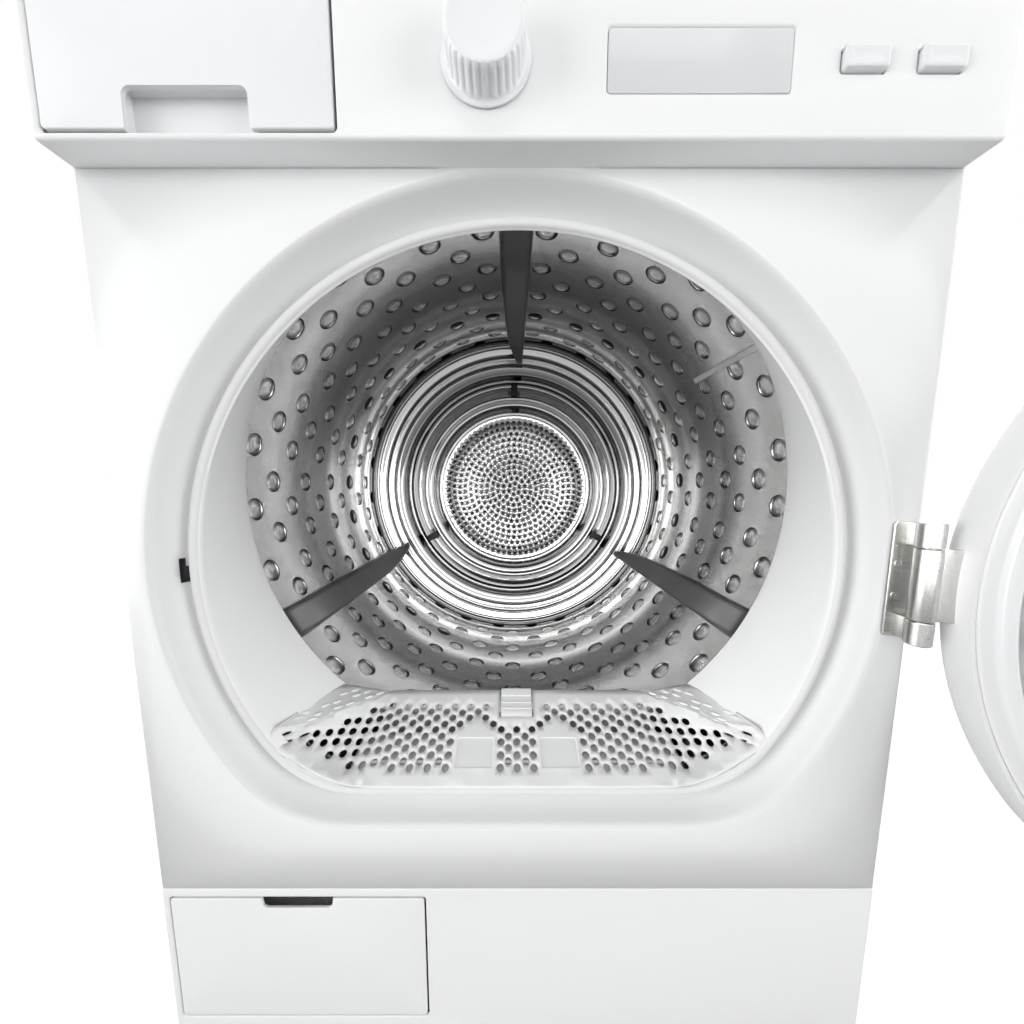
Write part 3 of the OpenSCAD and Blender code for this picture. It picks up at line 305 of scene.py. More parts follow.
def rubber(name, base, rough=0.6):
    """Matt rubber with a fine grain."""
    mat, tree, bsdf = shader(name, base, rough, Specular_IOR_Level=0.35)
    vec = coords(tree)
    tree.links.new(tint(tree, noise(tree, vec, 40.0, 4.0), shade(base, 0.8), shade(base, 1.25)),
                   bsdf.inputs["Base Color"])
    tree.links.new(spread(tree, noise(tree, vec, 180.0), rough * 0.85, rough * 1.15),
                   bsdf.inputs["Roughness"])
    bump(tree, bsdf, noise(tree, vec, 700.0), 0.4, 0.0001)
    return mat


def pane(name, base, clear, rough=0.04):
    """Moulded clear pane: glass with a trace of unevenness."""
    mat, tree, bsdf = shader(name, base, rough, Transmission_Weight=clear, IOR=1.45)
    tree.links.new(spread(tree, noise(tree, coords(tree), 25.0), rough * 0.6, rough * 1.8),
                   bsdf.inputs["Roughness"])
    bump(tree, bsdf, noise(tree, coords(tree), 18.0, 1.0), 0.05, 0.0003)
    return mat


# Painted reflection and shade on the steel, as shares of its colour (place in m, share): by the depth in the drum
# for its wall and dents, by the distance from its axis for the hub cover and the stamped back; the bright and dark
# bands stand in for reflections and shade
HUB_PAINTED_LIGHT = (
    (0.0, 0.5), (0.05, 0.58), (0.09, 1.0), (0.115, 0.8), (0.130, 0.24), (0.139, 0.5), (0.1445, 1.0),
    (0.150, 0.8), (0.1535, 0.3), (0.158, 0.24), (0.165, 0.19), (0.170, 0.26), (0.175, 0.4),
    (0.180, 0.55), (0.184, 0.14))
WALL_PAINTED_LIGHT = (
    (-0.209, 1.0), (-0.15, 1.0), (-0.12, 0.72), (-0.09, 0.5), (-0.07, 0.3), (-0.03, 0.32), (0.0, 0.42),
    (0.03, 0.9), (0.06, 1.0), (0.13, 1.0), (0.15, 0.48), (0.168, 0.12), (0.175, 0.1))
DENT_PAINTED_LIGHT = (
    (-0.209, 0.9), (-0.115, 0.7), (-0.07, 0.42), (-0.03, 0.38), (0.0, 0.45), (0.03, 0.7), (0.06, 0.9),
    (0.13, 1.0), (0.15, 0.5), (0.175, 0.2))
BACK_PAINTED_LIGHT = (
    (0.185, 0.11), (0.190, 0.35), (0.196, 0.62), (0.202, 0.2), (0.2075, 0.18), (0.214, 0.45),
    (0.2185, 0.09), (0.2245, 0.09), (0.230, 0.2), (0.236, 0.4), (0.240, 0.64), (0.2432, 0.13),
    (0.2462, 0.13), (0.2492, 1.0), (0.2535, 1.0), (0.2570, 0.34), (0.2640, 0.2), (0.2675, 1.0),
    (0.276, 1.0), (0.2795, 0.6), (0.282, 0.18), (0.287, 0.12))
MATS = {}


def make_finishes(c):
    """Fills MATS with all the materials; c holds the dryer's colours."""
    MATS.update({
        "enamel": moulded("White enamel", c.casing, 0.28, 420.0, 0.00005, 0.002, Specular_IOR_Level=0.3),
        # Painted shade: the recess round the opening is a darker copy of the casing's enamel
        "recess": moulded("Shaded recess enamel", shade(c.casing, 0.92), 0.4, 420.0, 0.00005, 0.004,
                          Specular_IOR_Level=0.2),
        "casing": moulded("Casing plastic", c.casing, 0.33, 1100.0, 0.00005, 0.004, Specular_IOR_Level=0.3),
        "opening": moulded("Opening plastic", c.opening, 0.5, 1400.0, 0.00003, 0.01, Specular_IOR_Level=0.15),
        # Painted shade: the bead round the opening is a darker copy of the opening's plastic
        "bead": moulded("Shaded bead plastic", shade(c.opening, 0.8), 0.5, 1400.0, 0.00003, 0.01,
                        Specular_IOR_Level=0.15),
        "filter": moulded("Filter plastic", shade(c.opening, 0.9), 0.45, 1400.0, 0.00003, 0.01,
                          Specular_IOR_Level=0.2),
        "shelf": moulded("Filter shelf", shade(c.opening, 0.84), 0.42, 1400.0, 0.00003, 0.01),
        "screen": moulded("Lint screen", (0.62, 0.62, 0.62), 0.6, 2600.0, 0.0004, 0.08),
        # Hub cover steel with painted reflection and shade rings by radius
        "hub": drum_steel("Hub cover steel", c.steel, 0.1, HUB_PAINTED_LIGHT, True),
        "inner_white": moulded("Door plastic", shade(c.casing, 0.98), 0.3, 1400.0, 0.00003, 0.01),
        "trim": moulded("Control plastic", c.trim, 0.3, 1300.0, 0.00004, 0.02),
        "display": moulded("Display lens", (0.55, 0.57, 0.58), 0.08, 40.0, 0.00002, 0.02,
                           Coat_Weight=0.6, Coat_Roughness=0.03),
        # Wall, dents and back steel with painted reflection and shade bands by depth or by radius
        "drum": drum_steel("Drum wall steel", c.steel, 0.14, WALL_PAINTED_LIGHT),
        "dent": drum_steel("Dent steel", c.steel, 0.2, DENT_PAINTED_LIGHT),
        "back": drum_steel("Drum back steel", c.steel, 0.08, BACK_PAINTED_LIGHT, True),
        "seam": drum_steel("Weld seam", c.steel, 0.36),
        # Painted shade in the dents' creases: a near-black copy of the drum's steel
        "crease": drum_steel("Dent crease shade", shade(c.steel, 0.12), 0.5),
        "lifter": moulded("Lifter plastic", c.lifter, 0.42, 1500.0, 0.00012, 0.12),
        "spider": moulded("Black paint", (0.008, 0.008, 0.008), 0.5, 800.0, 0.0001, 0.1),
        "felt": felt("Felt", (0.20, 0.20, 0.20)),
        "galvanised": galvanised("Galvanised sheet", (0.52, 0.53, 0.54)),
        "zinc": sheet_steel("Zinc plated steel", (0.62, 0.62, 0.60), 0.32),
        "base": moulded("Grey base coat", (0.10, 0.105, 0.11), 0.5, 500.0, 0.00015, 0.06),
        "dark_steel": sheet_steel("Dark oiled steel", (0.12, 0.12, 0.125), 0.4),
        "grey_plastic": moulded("Grey plastic", (0.15, 0.155, 0.165), 0.5, 1200.0, 0.0001, 0.05),
        "pale_plastic": moulded("Pale plastic", (0.66, 0.67, 0.66), 0.45, 1200.0, 0.0001, 0.03),
        "black_plastic": moulded("Black plastic", (0.012, 0.012, 0.012), 0.45, 1200.0, 0.0001, 0.2),
        "aluminium": sheet_steel("Aluminium fins", (0.72, 0.72, 0.73), 0.3, (60, 1, 60)),
        "board": moulded("Circuit board", (0.01, 0.07, 0.03), 0.4, 260.0, 0.0003, 0.5),
        "rubber": rubber("Black rubber", (0.012, 0.012, 0.012)),
        "seal": rubber("Seal rubber", c.rubber, 0.55),
        "roller": rubber("Roller rubber", (0.03, 0.03, 0.03), 0.7),
        "tank": moulded("Tank plastic", (0.72, 0.73, 0.74), 0.4, 1000.0, 0.00005, 0.02),
        "smoked": pane("Smoked window", (0.10, 0.10, 0.11), 0.85),
        "clear": pane("Inner glass", (0.88, 0.91, 0.92), 0.95),
    })


# The finish of each material slot of the CAD pieces
SLOT_FINISH = {
    "base_steel": "base", "black_rubber": "rubber", "white_steel": "enamel",
    "galvanised_steel": "galvanised", "white_plastic": "casing", "white_gloss": "opening",
    "pale_gloss": "display", "board_green": "board", "grey_plastic": "grey_plastic",
    "zinc_steel": "zinc", "dark_steel": "dark_steel", "felt": "felt", "aluminium": "aluminium",
    "black_plastic": "black_plastic", "pale_plastic": "pale_plastic", "stainless": "drum",
    "dark_plastic": "lifter", "black_paint": "spider", "smoked_glass": "smoked",
    "clear_glass": "clear", "grey_rubber": "seal", "roller_rubber": "roller",
    "tank_white": "tank", "knob_plastic": "trim", "button_plastic": "trim",
}


# ---------------------------------------------------------------- mesh tools
def piece(name, verts, faces, finish, body, slot, replaces=(), smooth=40.0, tidy=True):
    """Makes one object from points in millimetres and lets it ride on its body."""
    mesh = bpy.data.meshes.new(name)
    mesh.from_pydata([(x * M, y * M, z * M) for x, y, z in verts], [], faces)
    if tidy:
        bm = bmesh.new()
        bm.from_mesh(mesh)
        bmesh.ops.remove_doubles(bm, verts=bm.verts, dist=1e-6)
        bmesh.ops.recalc_face_normals(bm, faces=bm.faces)
        bm.to_mesh(mesh)
        bm.free()
    made = bpy.data.objects.new(name, mesh)
    bpy.context.scene.collection.objects.link(made)
    mesh.materials.append(MATS[finish])
    if smooth:
        mesh.shade_smooth()
        mesh.set_sharp_from_angle(angle=math.radians(smooth))
    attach(made, body)
    if replaces:
        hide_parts(*replaces)
    return made


def loft(rings, closed_ends=False, loop=False):
    """Quads between rings with the same number of points; loop joins the last to the first."""
    n = len(rings[0])
    verts = [p for ring in rings for p in ring]
    faces = []
    for k in range(len(rings) if loop else len(rings) - 1):
        a, b = k * n, ((k + 1) % len(rings)) * n
        faces += [(a + i, a + (i + 1) % n, b + (i + 1) % n, b + i) for i in range(n)]
    if closed_ends:
        faces.append(tuple(range(n - 1, -1, -1)))
        faces.append(tuple(range(len(verts) - n, len(verts))))
    return verts, faces


def join(*parts):
    """Joins (verts, faces) pairs into one."""
    verts, faces = [], []
    for v, f in parts:
        n = len(verts)
        verts += list(v)
        faces += [tuple(i + n for i in face) for face in f]
    return verts, faces


def turned(profile, n=256, loop=True):
    """Turns a profile of (radius, y) about the drum's axis."""
    rings = [[(r * math.sin(2 * math.pi * i / n), y, AXIS_Z + r * math.cos(2 * math.pi * i / n))
              for i in range(n)] for r, y in profile]
    return loft(rings, loop=loop)


def d_outline(r, flat, corner, n=256, cz=0.0, shift=0.0):
    """Points of a circle cut by a flat with round corners, at even angles about (0, shift)."""
    fx = math.sqrt((r - corner) ** 2 - (flat - corner) ** 2)
    a_corner = math.atan2(corner - flat, fx)
    pts = [(r * math.cos(t), r * math.sin(t))
           for t in np.linspace(a_corner, math.pi - a_corner, 1200)]
    pts += [(-fx + corner * math.cos(t), corner - flat + corner * math.sin(t))
            for t in np.linspace(math.pi - a_corner, 1.5 * math.pi, 400)]
    pts += [(x, -flat) for x in np.linspace(-fx, fx, 200)]
    pts += [(fx + corner * math.cos(t), corner - flat + corner * math.sin(t))
            for t in np.linspace(-0.5 * math.pi, a_corner, 400)]
    pts = np.array(pts) - (0, shift)
    angle = np.unwrap(np.arctan2(pts[:, 1], pts[:, 0]))
    radius = np.hypot(pts[:, 0], pts[:, 1])
    order = np.argsort(angle)
    want = 2 * math.pi * np.arange(n) / n
    got = np.interp(want, angle[order], radius[order], period=2 * math.pi)
    return np.stack([got * np.cos(want), got * np.sin(want) + shift + cz], axis=1)


def at_depth(outline, y):
    """Places an outline of (x, z) points at y."""
    return [(p[0], y, p[1]) for p in outline]


def mixed(a, b, t):
    """From a to b as t goes from 0 to 1."""
    return a * (1 - t) + b * t


def rounded_rect(x0, z0, x1, z1, r, steps=6):
    """Outline of a rectangle with round corners."""
    pts = []
    for cx, cz, a0 in ((x1 - r, z1 - r, 0), (x0 + r, z1 - r, 90), (x0 + r, z0 + r, 180),
                       (x1 - r, z0 + r, 270)):
        pts += [(cx + r * math.cos(math.radians(a0 + 90 * k / steps)),
                 cz + r * math.sin(math.radians(a0 + 90 * k / steps))) for k in range(steps + 1)]
    return pts


def circle(x, z, r, n):
    """Outline of a circle with n points."""
    return [(x + r * math.cos(2 * math.pi * k / n), z + r * math.sin(2 * math.pi * k / n))
            for k in range(n)]


def inside(point, poly):
    """True if a point lies in a closed outline."""
    x, z = point
    hit = False
    for (x0, z0), (x1, z1) in zip(poly, poly[1:] + poly[:1]):
        if (z0 > z) != (z1 > z) and x < x0 + (z - z0) / (z1 - z0) * (x1 - x0):
            hit = not hit
    return hit


def rounded_box(lo, hi, r, steps=3):
    """Box with all its edges rounded."""
    bm = bmesh.new()
    bmesh.ops.create_cube(bm, size=1.0)
    mid, span = (Vector(lo) + Vector(hi)) / 2, Vector(hi) - Vector(lo)
    for v in bm.verts:
        v.co = Vector((v.co[k] * span[k] + mid[k] for k in range(3)))
    bmesh.ops.bevel(bm, geom=bm.edges[:], offset=r, segments=steps, profile=0.5, affect="EDGES")
    bm.verts.index_update()
    out = [tuple(v.co) for v in bm.verts], [tuple(v.index for v in f.verts) for f in bm.faces]
    bm.free()
    return out


def seen_ring(r, cz, centre, n=256):
    """Points of a circle about (0, cz) at even angles seen from (0, centre)."""
    t = 2 * math.pi * np.arange(n) / n
    b = (centre - cz) * np.sin(t)
    s = -b + np.sqrt(b ** 2 - (centre - cz) ** 2 + r ** 2)
    return np.stack([s * np.cos(t), s * np.sin(t) + centre], axis=1)


def opening_outline(grow, n=256):
    """The rim of the loading opening, grown by some mm from the edge of the recess."""
    return d_outline(276 + grow, 206 + grow * 0.86, 102 + grow * 0.62, n, OPEN_Z, 25.0)


def dots(outline, holes, n, extra=()):
    """Triangles of a flat sheet: outline lists its rim and large holes, holes its many oval ones.

    An oval hole is (x, y, rx, ry, turn) with n points; extra points make the fill finer.
    """
    loops = []
    for x, y, rx, ry, turn in holes:
        c, s = math.cos(turn), math.sin(turn)
        loops.append([(x + rx * math.cos(a) * c - ry * math.sin(a) * s,
                       y + rx * math.cos(a) * s + ry * math.sin(a) * c)
                      for a in (2 * math.pi * k / n for k in range(n))])
    pts, edges = [], []
    for loop_ in list(outline) + loops:
        first = len(pts)
        pts += [Vector(p) for p in loop_]
        edges += [(first + k, first + (k + 1) % len(loop_)) for k in range(len(loop_))]
    pts += [Vector(p) for p in extra]
    out = geometry.delaunay_2d_cdt(pts, edges, [], 0, 1e-5)
    verts = np.array([tuple(v) for v in out[0]])
    faces = list(out[2])
    mid = np.array([verts[list(f)].mean(axis=0) for f in faces])
    keep = np.ones(len(faces), bool)
    for x, y, rx, ry, turn in holes:
        dx, dy = mid[:, 0] - x, mid[:, 1] - y
        c, s = math.cos(turn), math.sin(turn)
        keep &= ((dx * c + dy * s) / rx) ** 2 + ((-dx * s + dy * c) / ry) ** 2 > 0.98
    for k in np.nonzero(keep)[0]:
        p = tuple(mid[k])
        if not inside(p, outline[0]) or any(inside(p, o) for o in outline[1:]):
            keep[k] = False
    return [tuple(v) for v in verts], [tuple(f) for k, f in enumerate(faces) if keep[k]]


def solid(made, t):
    """Gives a shell its thickness in mm, towards its inside."""
    mod = made.modifiers.new("Thickness", "SOLIDIFY")
    mod.thickness = t * M
    mod.offset = -1.0
    mod.use_even_offset = False


def face_towards(made, axis, sign):
    """Turns a patch so that its faces look along an axis, or against it if sign is -1."""
    if sum(p.normal[axis] * p.area for p in made.data.polygons) * sign < 0:
        made.data.flip_normals()


def painted(made, finish, chosen):
    """Adds a second finish and puts it on the faces whose middle is chosen."""
    made.data.materials.append(MATS[finish])
    for face in made.data.polygons:
        if chosen(face.center / M):
            face.material_index = 1


# ---------------------------------------------------------------- operators
class Part(bpy.types.Operator):
    """Base of the dryer's operators"""
    bl_idname = "dryer.part"
    bl_label = "Dryer part"
    bl_options = {"REGISTER", "UNDO"}


class DRYER_OT_finishes(Part):
    """Makes the materials and puts them on the CAD pieces"""
    bl_idname = "dryer.finishes"
    bl_label = "Finishes"

    def execute(self, context):
        make_finishes(context.scene.dryer_colours)
        for part in frame["record"]["subparts"]:
            mesh = NODES[part["node"]].data
            mesh.materials.clear()
            mesh.materials.append(MATS[SLOT_FINISH[part["material_slot"]]])
        return {"FINISHED"}


class DRYER_OT_front(Part):
    """Makes the front panel with its rounded recess round the opening"""
    bl_idname = "dryer.front"
    bl_label = "Front panel"

    def execute(self, context):
        lo, hi = node_box("front_panel")
        r = context.scene.dryer_sizes.edge_radius
        rings = [at_depth(opening_outline(g), FRONT + d) for g, d in (
            (9, 0), (6, 0), (4.2, 0.25), (2.6, 0.9), (1.2, 2.1), (0.2, 4), (-1.2, 8), (-3.2, 13),
            (-5.6, 17), (-8.4, 20), (-11.4, 21.6), (-15.5, 22))]
        points, quads = loft(rings)
        # The door's hook passes through a slot in the recess
        slot = [f for f in quads if all(p[0] < 0 and abs(p[2] - OPEN_Z) < 12 and p[1] > FRONT + 16.5
                                        for p in (points[i] for i in f))]
        recess = points, [f for f in quads if f not in slot]
        z0, z1 = lo.z + 0.4, hi.z - 0.4
        outer = [(lo.x + r, z0), (hi.x - r, z0), (hi.x - r, z1), (lo.x + r, z1)]
        flat, faces = dots([outer, [tuple(p) for p in opening_outline(9)]], [], 8)
        face = [(x, FRONT, z) for x, z in flat], faces
        sides = []
        for s in (-1, 1):
            bend = [(HALF - r + r * math.sin(t), FRONT + r - r * math.cos(t))
                    for t in np.linspace(0, math.pi / 2, 7)]
            v = [(s * x, y, z) for x, y in bend for z in (z0, z1)]
            sides.append((v, [(2 * k, 2 * k + 2, 2 * k + 3, 2 * k + 1) if s > 0 else
                              (2 * k, 2 * k + 1, 2 * k + 3, 2 * k + 2) for k in range(6)]))
        made = piece("front_shell", *join(recess, face, *sides), "enamel", "cabinet", "white_steel",
                     ["front_panel"], 30.0)
        # The recess faces get the darker enamel: painted shade in the recess
        painted(made, "recess", lambda c: c.y > FRONT + 0.5 and abs(c.x) < HALF - 4)
        solid(made, 1.2)
        return {"FINISHED"}


LIP = -15.0  # growth of the opening's outline at the lip's outer edge
COLLAR_R = 274.5  # inner radius of the collar at the drum
COVER_TOP, COVER_FRONT = 311.8, -274.0  # below and behind these the filter's cover takes over
DUCT_HALF = 152  # half the width of the bulkhead's notch for the filter's duct


class DRYER_OT_opening(Part):
    """Makes the shield of the opening: bead, funnel and collar"""
    bl_idname = "dryer.opening"
    bl_label = "Opening shield"

    def execute(self, context):
        bead = context.scene.dryer_sizes.bead_width
        lip, back = node_box("door_opening_shield")[0].y, node_box("door_opening_shield")[1].y
        n, centre = 320, OPEN_Z + 25
        inner = LIP - bead
        rings = [at_depth(opening_outline(o, n), y) for o, y in (
            (LIP - 0.6, FRONT + 22), (LIP, lip + 3.0), (LIP - 0.5, lip + 1.3), (LIP - 1.6, lip + 0.35),
            (LIP - 3, lip), (inner + 3, lip), (inner + 1.6, lip + 0.3), (inner + 0.4, lip + 1.2),
            (inner, lip + 2.4))]

        def outline(out, t):
            return mixed(opening_outline(inner - 0.6 + out, n),
                         seen_ring(COLLAR_R + out, AXIS_Z, centre, n), t)

        def funnel(out, t):
            return at_depth(outline(out, t), mixed(lip + 4.5, back - 1.2, t + 0.05 * math.sin(math.pi * t)))

        rings += [funnel(0, k / 24) for k in range(25)]
        rings += [at_depth(seen_ring(r, AXIS_Z, centre, n), y) for r, y in (
            (275.2, back - 0.3), (276.2, back), (277.0, back - 0.6), (277.3, back - 2))]
        rings += [funnel(2.6, k / 24) for k in range(22, 1, -1)]
        rings.append(at_depth(opening_outline(inner + 2.6, n), lip + 3.2))
        verts, faces = loft(rings, loop=True)
        bm = bmesh.new()
        for v in verts:
            bm.verts.new(v)
        bm.verts.ensure_lookup_table()
        for f in faces:
            bm.faces.new([bm.verts[i] for i in f])
        for place, normal in (((0, 0, COVER_TOP), (0, 0, 1)), ((0, COVER_FRONT, 0), (0, 1, 0))):
            bmesh.ops.bisect_plane(bm, geom=bm.verts[:] + bm.edges[:] + bm.faces[:],
                                   plane_co=place, plane_no=normal)
        middles = [(f, f.calc_center_median()) for f in bm.faces]
        gone = [f for f, c in middles if c.z < COVER_TOP and COVER_FRONT < c.y < back - 2]
        bmesh.ops.delete(bm, geom=gone, context="FACES")
        bm.verts.index_update()
        verts = [tuple(v.co) for v in bm.verts]
        faces = [tuple(v.index for v in f.verts) for f in bm.faces]
        bm.free()
        made = piece("opening_shield", verts, faces, "opening", "cabinet", "white_gloss",
                     ["door_opening_shield"], 35.0)
        # The front bead gets the darker plastic: painted shade on the bead
        painted(made, "bead", lambda c: c.y < lip + 2.2)
        # Bulkhead behind it, with its hole along the funnel and its notch for the filter's duct
        a, b = node_box("front_bulkhead")
        hole = outline(3.4, (a.y - lip - 4.5) / (back - lip) - 0.02)
        hole = [tuple(p) for p in hole if abs(p[0]) > DUCT_HALF or p[1] > AXIS_Z]
        first = max(range(len(hole)), key=lambda k: (hole[k][0] > 0) * 1000 - hole[k][1])
        hole = hole[first:] + hole[:first]
        sheet = [(DUCT_HALF, a.z), (DUCT_HALF, hole[0][1])] + hole
        sheet += [(-DUCT_HALF, hole[-1][1]), (-DUCT_HALF, a.z), (a.x, a.z), (a.x, b.z), (b.x, b.z), (b.x, a.z)]
        piece("bulkhead_sheet", *slab_mesh(lambda grow: sheet, [], a.y, b.y, 0, 0), "galvanised", "cabinet",
              "galvanised_steel", ["front_bulkhead"], 30.0)
        return {"FINISHED"}


# ------------------------------------------------- lint filter
# The cover's outlines are drawn on its main plane and lifted from it along lines through one point
EYE = (-4.6, -561.3, 526.4)
SLOPE = 0.4133  # rise of the main plane towards the drum
ACROSS_Y, ACROSS_Z = 0.38, 0.925  # 1 mm across the plane
RIDGE = [(146.5, -212.8, 304.3), (162.2, -224.1, 304.3), (179.2, -239.7, 304.3), (186.6, -249.5, 304.3),
         (194.8, -254.1, 304.3)]
CORNER = (135.0, -201.0, 304.2)
END_Q, END_K = (206.5, -276.0, 318.0), (209.5, -284.0, 312.5)
FOOT = [(203.5, -284.5, 303.5), (190.9, -285, 295.6), (177.4, -285, 286.4), (163.8, -285, 278.7),
        (150, -285, 272.5), (134.5, -285, 269.7), (100, -285, 268.6), (64.9, -285, 268.4), (30, -285, 268.4)]
CREASE = [(204, -283.5, 303.6), (193.8, -280, 299.2), (183.8, -274, 290.7), (172, -270, 280.4),
          (158, -271.9, 274.75), (140.6, -274.4, 273.7), (123.6, -272.9, 274.3)]
SHELF = [(150, -199.6, 305.4), (168, -199.8, 309.0), (184, -200.5, 312.0), (192, -214, 312.8),
         (199, -232, 313.6), (204.5, -250, 315.0)]
# Places of the cover's holes on one side, as (x, y); they are mirrored to the other side
HOLES = (
    (-146, -221), (-137, -220), (-128, -216), (-112, -217), (-96, -217), (-80, -217), (-63, -217),
    (-47, -217), (-31, -217), (-168, -232), (-158, -231), (-147, -231), (-137, -229), (-128, -227),
    (-120, -222), (-103, -222), (-87, -222), (-71, -222), (-55, -223), (-39, -222), (-193, -243),
    (-181, -242), (-170, -241), (-159, -241), (-148, -240), (-138, -239), (-128, -237), (-120, -233),
    (-112, -228), (-96, -228), (-80, -228), (-64, -228), (-47, -228), (-31, -228), (-195, -251),
    (-182, -251), (-171, -250), (-160, -250), (-149, -250), (-138, -249), (-129, -247), (-120, -244),
    (-112, -239), (-103, -233), (-88, -233), (-71, -234), (-56, -234), (-23, -234), (-172, -261),
    (-160, -260), (-149, -259), (-139, -258), (-129, -257), (-120, -255), (-112, -250), (-104, -245),
    (-95, -239), (-79, -239), (-63, -239), (-150, -269), (-139, -269), (-129, -267), (-120, -265),
    (-112, -261), (-104, -255), (-96, -250), (-88, -245), (-72, -245), (-112, -271), (-103, -266),
    (-96, -261), (-88, -256), (-80, -250), (-63, -250), (-96, -271), (-88, -266), (-79, -261),
    (-72, -255), (-80, -271), (-71, -266), (-63, -261), (-64, -271), (-15, -239), (-8, -245),
    (-15, -250), (-8, -255), (-15, -261), (-8, -266), (-15, -271))


def plane_z(y):
    """Height of the cover's main plane."""
    return 275 + SLOPE * (y + 271.3)


def on_plane(p):
    """Where the line from EYE through p meets the main plane, and the lift from there to p."""
    e, d = Vector(EYE), Vector(p) - Vector(EYE)
    k = (plane_z(e.y) - e.z) / (d.z - SLOPE * d.y)
    q = e + d * k
    return (q.x, q.y), (k - 1) / k


class Lift:
    """Smooth lift of the cover from its main plane, from a few known points (thin plate spline)."""

    def __init__(self, points):
        self.p = np.array([p for p, s in points]) / 100.0
        n = len(self.p)
        a = np.zeros((n + 3, n + 3))
        a[:n, :n] = self.kernel(self.p)
        a[:n, n:] = np.c_[np.ones(n), self.p]
        a[n:, :n] = np.c_[np.ones(n), self.p].T
        a[:n, :n] += np.eye(n) * 1e-4
        self.w = np.linalg.solve(a, np.r_[[s for p, s in points], 0, 0, 0])

    def kernel(self, q):
        """Thin plate function of the distances to the known points."""
        d = np.linalg.norm(q[:, None, :] - self.p[None, :, :], axis=2)
        return np.where(d > 1e-9, d ** 2 * np.log(np.maximum(d, 1e-9)), 0.0)

    def __call__(self, pts):
        q = np.array(pts) / 100.0
        q[:, 0] = np.abs(q[:, 0])
        return self.kernel(q) @ self.w[:-3] + np.c_[np.ones(len(q)), q] @ self.w[-3:]

    def place(self, pts, down=0.0):
        """Points in space of places on the main plane; down moves them under the cover."""
        s = self(pts)
        out = []
        for (x, y), k in zip(pts, s):
            q = Vector((x, y, plane_z(y)))
            q = q + (Vector(EYE) - q) * float(k)
            out.append((q.x, q.y + down * ACROSS_Y, q.z - down * ACROSS_Z))
        return out


def grid_faces(rows, columns):
    """Quads between rows of points."""
    return [(k * columns + i, k * columns + i + 1, (k + 1) * columns + i + 1, (k + 1) * columns + i)
            for k in range(rows - 1) for i in range(columns - 1)]


def mirrored(points):
    """The same outline on the other side, run the other way."""
    return [(-x, y) for x, y in reversed(points)]


